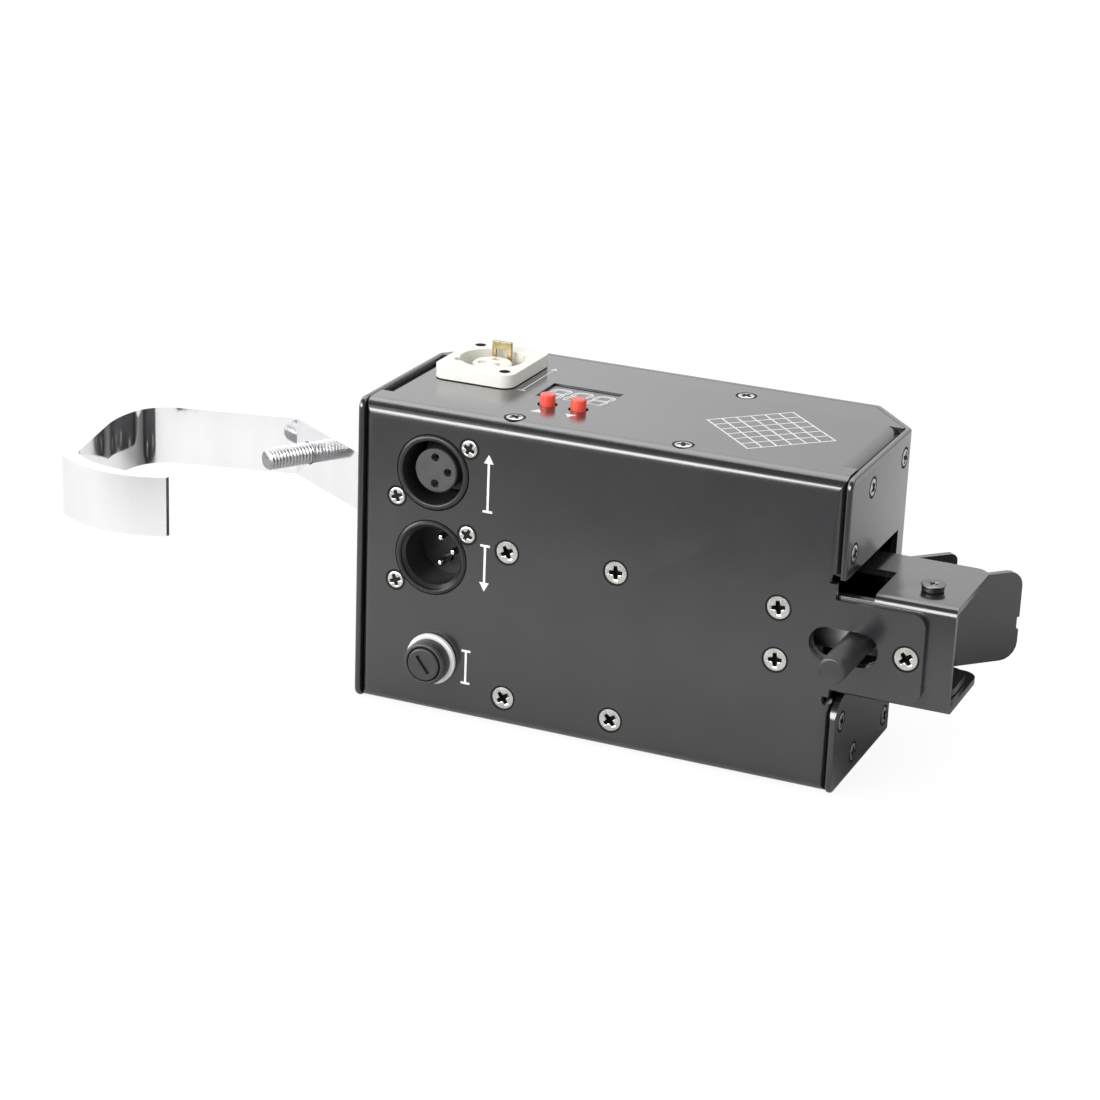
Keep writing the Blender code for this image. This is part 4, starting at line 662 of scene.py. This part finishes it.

# Screws: nickel-plated countersunk machine screws with cross recesses, M4 in the front panel and
# M3 elsewhere. Each sits in a countersink; the dark ring round the head is painted shade in its gap,
# and the black in the cross recesses is painted shade too.
# Painted shade: a near-black for the rings in the countersinks' gaps, where shade falls.
painted_gap_shade = finish("painted_gap_shade", (0.006, 0.006, 0.006), (0.004, 0.004, 0.004), 0.6, 0.8, 0.5, 0.01,
                   gloss=0.2)
nickel = finish("nickel_plate", (0.66, 0.65, 0.62), (0.52, 0.51, 0.49), 0.2, 0.36, 0.35, 0.004, metal=1.0,
                patch=3)
# Painted shade: a near-black for the insides of cross recesses and of the socket screws' holes.
painted_recess_shade = finish("painted_recess_shade", (0.008, 0.008, 0.008), (0.005, 0.005, 0.005), 0.7, 0.9, 0.4, 0.01,
                      patch=1, gloss=0.1)


def cross_bit(reach, depth):
    """The driver's cross: four arms that narrow as they go down, with a square heart."""
    arm = 0.27 * reach
    mesh = bmesh.new()
    rings = []
    for height, scale in ((0.5 * MM, 1.08), (-0.35 * depth, 0.82), (-depth, 0.34)):
        loop = []
        for quarter in range(4):
            turn = Matrix.Rotation(quarter * math.pi / 2, 3, "Z")
            corners = ((reach * scale, -arm * scale), (reach * scale, arm * scale), (arm * 1.25, arm * 1.25))
            for u, v in corners:
                loop.append(mesh.verts.new(turn @ Vector((u, v, height))))
        rings.append(loop)
    mesh.faces.new(rings[0])
    mesh.faces.new(rings[-1])
    for upper, lower in zip(rings, rings[1:]):
        walls(mesh, upper, lower)
    bmesh.ops.recalc_face_normals(mesh, faces=mesh.faces)
    return mesh


def screw_mesh(name, head, shank, length, crown, cross=0.6):
    """A countersunk screw whose head lies at height 0, its slightly crowned face above."""
    edge, rounding = 0.12 * MM, 0.1 * MM
    profile = [(0, crown), (head * 0.5, crown * 0.85), (head * 0.85, crown * 0.3), (head - rounding, 0),
               (head, -edge), (shank, -edge - (head - shank)), (shank, -length), (0, -length)]
    blank = as_mesh(lathe(profile, Matrix.Identity(4), 48), name)
    blank.materials.append(nickel)
    bit = as_mesh(cross_bit(head * cross, head * 0.5), "bit")
    bit.materials.append(painted_recess_shade)
    return worked(blank, bit)


def rim_mesh(name, inner, outer):
    """A ring of painted shade at a countersink's edge. The small screws' one runs in under the head to shade
    its cross.
    """
    thick, deep = 0.03 * MM, 0.3 * MM
    profile = [(inner, -deep), (outer, -deep), (outer, thick), (inner, thick * 0.4)]
    return as_mesh(lathe(profile, Matrix.Identity(4), 48, ring=True), name)


m3_rim = rim_mesh("m3_rim", 0.02 * MM, 3.4 * MM)
m4_rim = rim_mesh("m4_rim", 3.55 * MM, 4.15 * MM)
m4_screw = screw_mesh("m4_screw", 3.62 * MM, 1.95 * MM, 6.0 * MM, 0.12 * MM)
m3_proud, m4_sunk = 0.05 * MM, 0.15 * MM
for name, turn in panel_turns.items():
    low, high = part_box(name)
    centre = Vector(((low.x + high.x) / 2, FRONT + m4_sunk, (low.z + high.z) / 2))
    screw = fit(f"{name}_cross", m4_screw.copy(), None, "housing", [name])
    screw.matrix_world = facing(centre, (0, -1, 0), (1, 0, 0)) @ Matrix.Rotation(math.radians(turn), 4, "Z")
    rim = fit(f"{name}_rim", m4_rim.copy(), painted_gap_shade, "housing")
    rim.matrix_world = facing(Vector((centre.x, FRONT, centre.z)), (0, -1, 0), (1, 0, 0))

m3_screw = screw_mesh("m3_screw", 2.7 * MM, 1.3 * MM, 1.6 * MM, 0.2 * MM, 0.72)
end_places = ((20.1, 91.4), (51.6, 91.5), (6.4, 75.1), (6.2, 22.0), (51.8, 6.7), (20.6, 6.5))
small_screws = []
for end, x, outward, turns in (("right", RIGHT, (1, 0, 0), (30, 70, 15, 60, 25, 80)),
                               ("left", LEFT, (-1, 0, 0), (12, 50, 85, 33, 64, 5))):
    for number, ((y, z), turn) in enumerate(zip(end_places, turns), 1):
        place = (x, FRONT + y * MM, z * MM)
        small_screws.append((f"{end}_screw_{number}", place, outward, (0, 1, 0), turn))
for number, (x, y, turn) in enumerate(((49.7, 6.5, 50), (103.9, 7.3, 20), (103.3, 63.2, 65)), 1):
    place = (LEFT + x * MM, FRONT + y * MM, TOP)
    small_screws.append((f"top_screw_{number}", place, (0, 0, 1), (1, 0, 0), turn))
xlr_screw_x, xlr_screw_z = 12.0 * MM, 9.5 * MM
for kind, height in xlr_heights.items():
    for number, side, turn in ((1, 1, 62), (2, -1, 20)):
        place = (xlr_x + side * xlr_screw_x, FRONT, height + side * xlr_screw_z)
        small_screws.append((f"xlr_{kind}_screw_{number}", place, (0, -1, 0), (1, 0, 0), turn))
for name, place, outward, across, turn in small_screws:
    seat = facing(Vector(place), outward, across)
    spin = Matrix.Translation((0, 0, m3_proud)) @ Matrix.Rotation(math.radians(turn), 4, "Z")
    screw = fit(name, m3_screw.copy(), None, "housing")
    screw.matrix_world = seat @ spin
    rim = fit(f"{name}_rim", m3_rim.copy(), painted_gap_shade, "housing")
    rim.matrix_world = seat

# Data connectors: three-pole panel sockets with black zinc shells, clamped behind the front panel.
# The female one has a moulded insert with sprung contacts, the male one a cup with silvered pins.
black_zinc = finish("black_zinc", (0.020, 0.020, 0.021), (0.012, 0.012, 0.013), 0.27, 0.38, 0.5, 0.006,
                    gloss=0.45, patch=5)
dress(["xlr_out_shell", "xlr_in_shell"], black_zinc, 0.42 * MM, 4)
insert_black = finish("insert_black", (0.060, 0.060, 0.062), (0.045, 0.045, 0.047), 0.42, 0.55, 0.4, 0.008,
                      patch=4)
dress(["xlr_out_insert"], insert_black, 0.35 * MM, 3)
silver_pin = finish("silver_pin", (0.92, 0.92, 0.90), (0.84, 0.84, 0.82), 0.1, 0.2, 0.4, 0.002, metal=1.0,
                    patch=2)
dress(["xlr_in_pin_1", "xlr_in_pin_2", "xlr_in_pin_3"], silver_pin, 0.25 * MM, 3)
pole_places = ((-0.25 * MM, 4.2 * MM), (4.0 * MM, 0.0), (-0.25 * MM, -4.2 * MM))
pole_sunk = 2.0 * MM
sleeve = [(0.8 * MM, -1.0 * MM), (1.1 * MM, -1.2 * MM), (1.1 * MM, -8.0 * MM), (0.8 * MM, -8.0 * MM)]
contact_silver = finish("contact_silver", (0.72, 0.70, 0.64), (0.6, 0.58, 0.52), 0.2, 0.35, 0.4, 0.003,
                        metal=1.0, patch=2)
for k, (dx, dz) in enumerate(pole_places, 1):
    place = facing((xlr_x + dx, FRONT + pole_sunk, xlr_heights["out"] + dz), (0, -1, 0), (1, 0, 0))
    contact = lathe(sleeve, place, 32, ring=True)
    fit(f"xlr_out_contact_{k}", as_mesh(contact, "contact"), contact_silver, "housing")

# Fuse holder: moulded black body on a soft white washer, with a quarter-turn cap that a coin opens.
# The glass fuse and its metal ends come out with the cap.
moulded_black = finish("moulded_black", (0.034, 0.034, 0.036), (0.024, 0.024, 0.026), 0.32, 0.46, 0.45,
                       0.01, patch=5)
dress(["fuse_body", "fuse_nut", "latch_guide", "button_switch_1", "button_switch_2"], moulded_black,
      0.3 * MM, 3)
dress(["fuse_cap"], moulded_black, 0.16 * MM, 3)
washer_white = finish("washer_white", (0.86, 0.86, 0.84), (0.78, 0.78, 0.76), 0.45, 0.6, 0.5, 0.008,
                      patch=4)
dress(["fuse_ring"], washer_white, 0.3 * MM, 3)
fuse_glass = finish("fuse_glass", (0.75, 0.8, 0.8), (0.7, 0.76, 0.76), 0.05, 0.1, 0.5, 0.001)
fuse_glass.node_tree.nodes["Principled BSDF"].inputs["Transmission Weight"].default_value = 0.8
dress(["fuse_link"], fuse_glass, 0.1 * MM)

# Mains sockets: twist-lock shells moulded in ivory for the way out and in blue for the way in,
# each with a keyed cup round a centre post and one flat tongue. The tongue's metallic tan is painted
# shade, the moulded arch in the cup's shadow. Two screws hold each.
ivory = finish("ivory_moulding", (0.90, 0.89, 0.83), (0.86, 0.85, 0.79), 0.3, 0.42, 0.5, 0.006, patch=9)
dress(["power_outlet"], ivory, 0.5 * MM, 4)
blue = finish("blue_moulding", (0.035, 0.17, 0.52), (0.028, 0.14, 0.45), 0.3, 0.42, 0.5, 0.006, patch=9)
dress(["power_inlet"], blue, 0.5 * MM, 4)
# Painted shade: this tan stands for the moulded arch in shadow, not for metal.
shade_tan = finish("painted_shade_tan", (0.50, 0.42, 0.24), (0.38, 0.31, 0.17), 0.28, 0.42, 0.3, 0.004, metal=1.0,
               patch=3)
dress(["power_outlet_tongue", "power_inlet_tongue"], shade_tan, 0.12 * MM)
flange_face, socket_screw_x, socket_screw_y = 4.4 * MM, 9.5 * MM, 11.6 * MM
socket_seats = (("outlet", facing((outlet_x, outlet_y, TOP + flange_face), (0, 0, 1), (1, 0, 0))),
                ("inlet", facing((inlet_x, REAR + flange_face, inlet_z), (0, 1, 0), (-1, 0, 0))))
# Each socket screw's place is a shallow black disc of painted shade, the shade in its hole.
screw_well = [(0, 0.01 * MM), (1.75 * MM, 0.01 * MM), (1.95 * MM, -0.2 * MM), (0, -0.2 * MM)]
for kind, seat in socket_seats:
    for number, side in enumerate((1, -1), 1):
        aside = Matrix.Translation((side * socket_screw_x, -side * socket_screw_y, 0))
        hole = lathe(screw_well, seat @ aside, 32)
        fit(f"{kind}_screw_{number}", as_mesh(hole, "socket_screw"), painted_recess_shade, "housing")

# Display: a three-digit module with a grey face, seen through a cut-out. It is unlit. The pale frames
# round its slanted segments are painted highlights, the light that their edges catch.
display_grey = finish("display_grey", (0.20, 0.20, 0.21), (0.17, 0.17, 0.18), 0.3, 0.4, 0.4, 0.004, patch=6)
dress(["display"], display_grey, 0.12 * MM)
# Painted highlight: the pale colour of the segments' frames.
painted_segment_glint = finish("painted_segment_glint", (0.80, 0.80, 0.80), (0.72, 0.72, 0.72), 0.35, 0.45, 0.3, 0.003,
                      patch=2)
low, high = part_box("display")
face_centre = Vector(((low.x + high.x) / 2, (low.y + high.y) / 2, high.z))
digit_wide, bar_high, bar, slant = 5.0 * MM, 4.7 * MM, 1.35 * MM, math.radians(9)
digit_pitch, digit_shift, bar_share = 7.3 * MM, Vector((-0.2 * MM, -0.4 * MM, 0)), 0.96
frame_share, frame_end = 0.34, 0.3 * MM


def segment(along, across, length, upright):
    """One segment's pointed bar, drawn flat about its middle."""
    tip, half = length / 2, bar / 2
    points = [(-tip, 0), (-tip + half, -half), (tip - half, -half), (tip, 0), (tip - half, half),
              (-tip + half, half)]
    if upright:
        points = [(-v, u) for u, v in points]
    return [(along + u, across + v) for u, v in points]


spans = [(0, level * bar_high, digit_wide, False) for level in (1, 0, -1)]
spans += [(side * digit_wide / 2, level * bar_high / 2, bar_high, True)
          for side in (-1, 1) for level in (-1, 1)]
for number in range(3):
    digit = bmesh.new()
    for along, across, length, upright in spans:
        points = segment(along, across, length * bar_share, upright)
        points = [Vector((x + y * math.tan(slant), y)) for x, y in points]
        middle = sum(points, Vector((0, 0))) / len(points)
        inner = []
        for away in (point - middle for point in points):
            short = 1 - frame_end / away.length
            shares = (frame_share, short) if upright else (short, frame_share)
            inner.append((middle.x + away.x * shares[0], middle.y + away.y * shares[1]))
        rings = [[digit.verts.new((x, y, level)) for x, y in loop]
                 for loop, level in ((points, 0), (points, INK), (inner, INK), (inner, 0))]
        for first, second in zip(rings, rings[1:] + rings[:1]):
            walls(digit, first, second)
    place = face_centre + digit_shift + Vector(((number - 1) * digit_pitch, 0, 0))
    digit.transform(Matrix.Translation(place))
    frames = as_mesh(digit, "display_digit")
    fit(f"display_digit_{number + 1}", frames, painted_segment_glint, "housing")

# Push buttons: short caps moulded in a clear orange-red plastic that glows a little inside.
# They stand 3.5 mm out of the panel and press two small switches on the board below.
red = finish("red_moulding", (0.95, 0.12, 0.08), (0.90, 0.10, 0.065), 0.26, 0.36, 0.4, 0.004, patch=2)
glow_through = red.node_tree.nodes["Principled BSDF"]
glow_through.inputs["Subsurface Weight"].default_value = 0.35
glow_through.inputs["Subsurface Radius"].default_value = (1.0, 0.25, 0.15)
glow_through.inputs["Subsurface Scale"].default_value = 1.2 * MM
dress(["button_1", "button_2"], red, 0.45 * MM, 4)

# Hook clamp: one bar of extruded aluminium, sawn to 20 mm and polished, bolted on by its foot.
# It follows its die's outline: a slanted leg, a flat back, a round end and a thinning tip. Each row
# below is a straight run and its length, or a bend's radius and its turn in degrees.
bright = finish("polished_aluminium", (0.90, 0.90, 0.91), (0.86, 0.86, 0.87), 0.045, 0.10, 0.5, 0.0025,
                metal=1.0, streak=(1, 1, 0.03), patch=7)
foot_thick, hook_wide, hook_gap, leg_length, leg_thick = 7.0 * MM, 20.0 * MM, 0.3 * MM, 69.8 * MM, 10.3 * MM
spot = Vector((LEFT - foot_thick / 2 - hook_gap, FRONT + 48.5 * MM))
heading = math.radians(147.0)
stations = [(spot, heading, 0.0)]
for size, bend in ((leg_length, 0), (4.0 * MM, 48.6), (42.6 * MM, 0), (18.6 * MM, 62.6), (42.3 * MM, 25.5),
                   (28.3 * MM, 0), (10.0 * MM, 42.4), (35.4 * MM, 61.8)):
    if bend == 0:
        spot = spot + Vector((math.cos(heading), math.sin(heading))) * size
        stations.append((spot, heading, stations[-1][2] + size))
        continue
    pieces = max(4, round(bend / 2.5))
    part = math.radians(bend) / pieces
    for _ in range(pieces):
        chord = Vector((math.cos(heading + part / 2), math.sin(heading + part / 2)))
        spot = spot + chord * 2 * size * math.sin(part / 2)
        heading += part
        stations.append((spot, heading, stations[-1][2] + size * part))
bar_length = stations[-1][2]
knots = [(0.0, leg_thick), (leg_length, leg_thick), (0.55 * bar_length, 6.8 * MM), (bar_length, 4.4 * MM)]


def bar_thickness(length):
    """The bar's thickness at a length along its middle line."""
    for (a, ta), (b, tb) in zip(knots, knots[1:]):
        if length <= b + 1e-9:
            return ta + (tb - ta) * (length - a) / (b - a)
    return knots[-1][1]


inner, outer = [], []
for spot, heading, length in stations:
    side = Vector((-math.sin(heading), math.cos(heading))) * bar_thickness(length) / 2
    inner.append(spot + side)
    outer.append(spot - side)
nose, nose_thick, nose_turn = 16 * MM, 1.3 * MM, math.radians(-13)
for k, (spot, heading, length) in enumerate(stations):
    left_over = bar_length - length
    if left_over < nose:
        share = 1 - (left_over / nose) ** 2
        inward = (inner[k] - outer[k]).normalized()
        inner[k] = outer[k] + inward * (bar_thickness(length) * (1 - share) + nose_thick * share)
inner[-1] = outer[-1] + Matrix.Rotation(nose_turn, 2) @ Vector((0, nose_thick))
low_face, high_face = hook_middle - hook_wide / 2, hook_middle + hook_wide / 2
face_x, foot_front, foot_rear = LEFT - hook_gap, foot_y - 14 * MM, FRONT + 54.1 * MM
foot = [(face_x, foot_front), (face_x, foot_rear), (face_x - foot_thick, foot_rear),
        (face_x - foot_thick, foot_front)]
bar_mesh = worked(prism(outer + inner[::-1], low_face, high_face), prism(foot, low_face, high_face), "UNION")
bolt_radius, bolt_along, bolt_play = 3.7 * MM, 61.1 * MM, 0.3 * MM
start_spot, start_heading, _ = stations[0]
along = Vector((math.cos(start_heading), math.sin(start_heading)))
into = Vector((-along.y, along.x))
entry = start_spot + along * bolt_along + into * bar_thickness(0) / 2
bolt_seat = facing(Vector((entry.x, entry.y, hook_middle)), (into.x, into.y, 0), (0, 0, 1))
foot_seat = facing(Vector((face_x, foot_y, hook_middle)), (1, 0, 0), (0, 1, 0))
for radius, depth, seat in ((bolt_radius + bolt_play, 20 * MM, bolt_seat), (foot_hole, 15 * MM, foot_seat)):
    bar_mesh = worked(bar_mesh, lathe([(radius, -depth), (radius, 5 * MM)], seat, 48))
shade(bar_mesh, 36)
hook_bar = fit("hook_bar", bar_mesh, bright, "housing", ["hook_clamp"])
broken_edges(hook_bar, 0.35 * MM, 3)

# Clamp bolt: a zinc-plated hexagon bolt with a rolled thread, screwed through the slanted leg.
# The thread is a helix of rows of points, and its end is chamfered.
zinc = finish("zinc_plate", (0.44, 0.44, 0.44), (0.34, 0.34, 0.35), 0.3, 0.42, 0.3, 0.004, metal=1.0,
              patch=4)
pitch, thread_depth, rows_a_turn, around = 1.25 * MM, 0.62 * MM, 8, 40
flank, crest_flat = 1.15, 0.12
bolt_inside, bolt_length, chamfer = 16.5 * MM, 45.0 * MM, 0.8 * MM
head_high, head_across = 5.3 * MM, 13.0 * MM
bolt = bmesh.new()
rows = round(bolt_length / pitch * rows_a_turn)
previous = None
for row in range(rows + 1):
    below = bolt_length * row / rows
    loop = []
    for k in range(around):
        angle = 2 * math.pi * k / around
        phase = (below / pitch + angle / (2 * math.pi)) % 1.0
        depth = abs(2 * phase - 1)
        radius = bolt_radius - thread_depth * max(0.0, min(1.0, flank * depth - crest_flat))
        radius = min(radius, bolt_radius - chamfer + below)
        loop.append(bolt.verts.new((radius * math.cos(angle), radius * math.sin(angle), -below)))
    if previous is None:
        bolt.faces.new(loop)
    else:
        walls(bolt, previous, loop)
    previous = loop
bolt.faces.new(previous)
bmesh.ops.recalc_face_normals(bolt, faces=bolt.faces)
bolt.transform(bolt_seat @ Matrix.Translation((0, 0, bolt_inside)))
head_corner = head_across / math.sqrt(3)
head_turn = bolt_seat @ Matrix.Translation((0, 0, bolt_inside - bolt_length))
head_profile = [(head_across / 2 - 0.3 * MM, -head_high), (head_corner, -head_high + 0.9 * MM),
                (head_corner, 0.3 * MM)]
head_mesh = as_mesh(lathe(head_profile, head_turn, 6), "bolt_head")
bolt_mesh = worked(as_mesh(bolt, "clamp_bolt_thread"), head_mesh, "UNION")
shade(bolt_mesh, 50)
fit("clamp_bolt_thread", bolt_mesh, zinc, "clamp_bolt", ["clamp_bolt"])
dress(["foot_bolt", "foot_nut"], zinc, 0.3 * MM, 3)

# Release fork: two prongs and two arms of 2 mm steel in one weldment, coated like the box.
# It swings on a bolt through the bracket, over a black collar under the bolt's head.
dress(["jaw"], powder_coat, 0.22 * MM, 3)
# The pivot bolt is blackened steel; the mid-grey patches drifting through its colour are painted highlights.
blackened_painted_glint = finish("blackened_painted_glint", (0.22, 0.22, 0.22), (0.09, 0.09, 0.09), 0.25, 0.4, 0.4, 0.006, metal=0.8,
                    patch=3)
dress(["pivot_bolt"], blackened_painted_glint, 0.35 * MM, 3)
dress(["pivot_collar"], black_zinc, 0.15 * MM)
ground_steel = finish("ground_steel", (0.44, 0.44, 0.45), (0.34, 0.34, 0.35), 0.3, 0.44, 0.4, 0.006,
                      metal=1.0, streak=(0.1, 1, 1), patch=6)
dress(["jaw_cam", "lower_spacer", "upper_spacer", "latch_slide", "plunger", "solenoid_frame"], ground_steel,
      0.18 * MM)

# Release rod: a blackened steel bar across the latch slide, which a hand pulls back in the slot.
# Its turned end has a fine chamfer.
oxide = finish("black_oxide", (0.050, 0.050, 0.052), (0.034, 0.034, 0.036), 0.34, 0.5, 0.5, 0.008,
               metal=0.3, patch=5)
dress(["release_rod"], oxide, 0.35 * MM, 3)

# Solenoid and boards: a wound coil in a steel frame moves the latch, a spring returns it, and two
# circuit boards stand on hexagon posts. They hardly show through the window.
winding = finish("varnished_winding", (0.45, 0.20, 0.09), (0.36, 0.15, 0.07), 0.25, 0.4, 0.3, 0.02,
                 streak=(1, 0.1, 0.1), patch=3)
dress(["solenoid_coil"], winding, 0.2 * MM)
solder_mask = finish("solder_mask", (0.02, 0.17, 0.08), (0.015, 0.13, 0.06), 0.3, 0.45, 0.8, 0.01, patch=8)
dress(["control_board", "power_board"], solder_mask, 0.1 * MM)
dress(["board_post_1", "board_post_2"], nickel, 0.15 * MM)
spring_wire = nodes["latch_spring"].data.copy()
spring = fit("latch_spring_wire", spring_wire, zinc, "housing", ["latch_spring"])
spring.modifiers.new("joined_facets", "NODES").node_group = facets
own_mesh(spring)
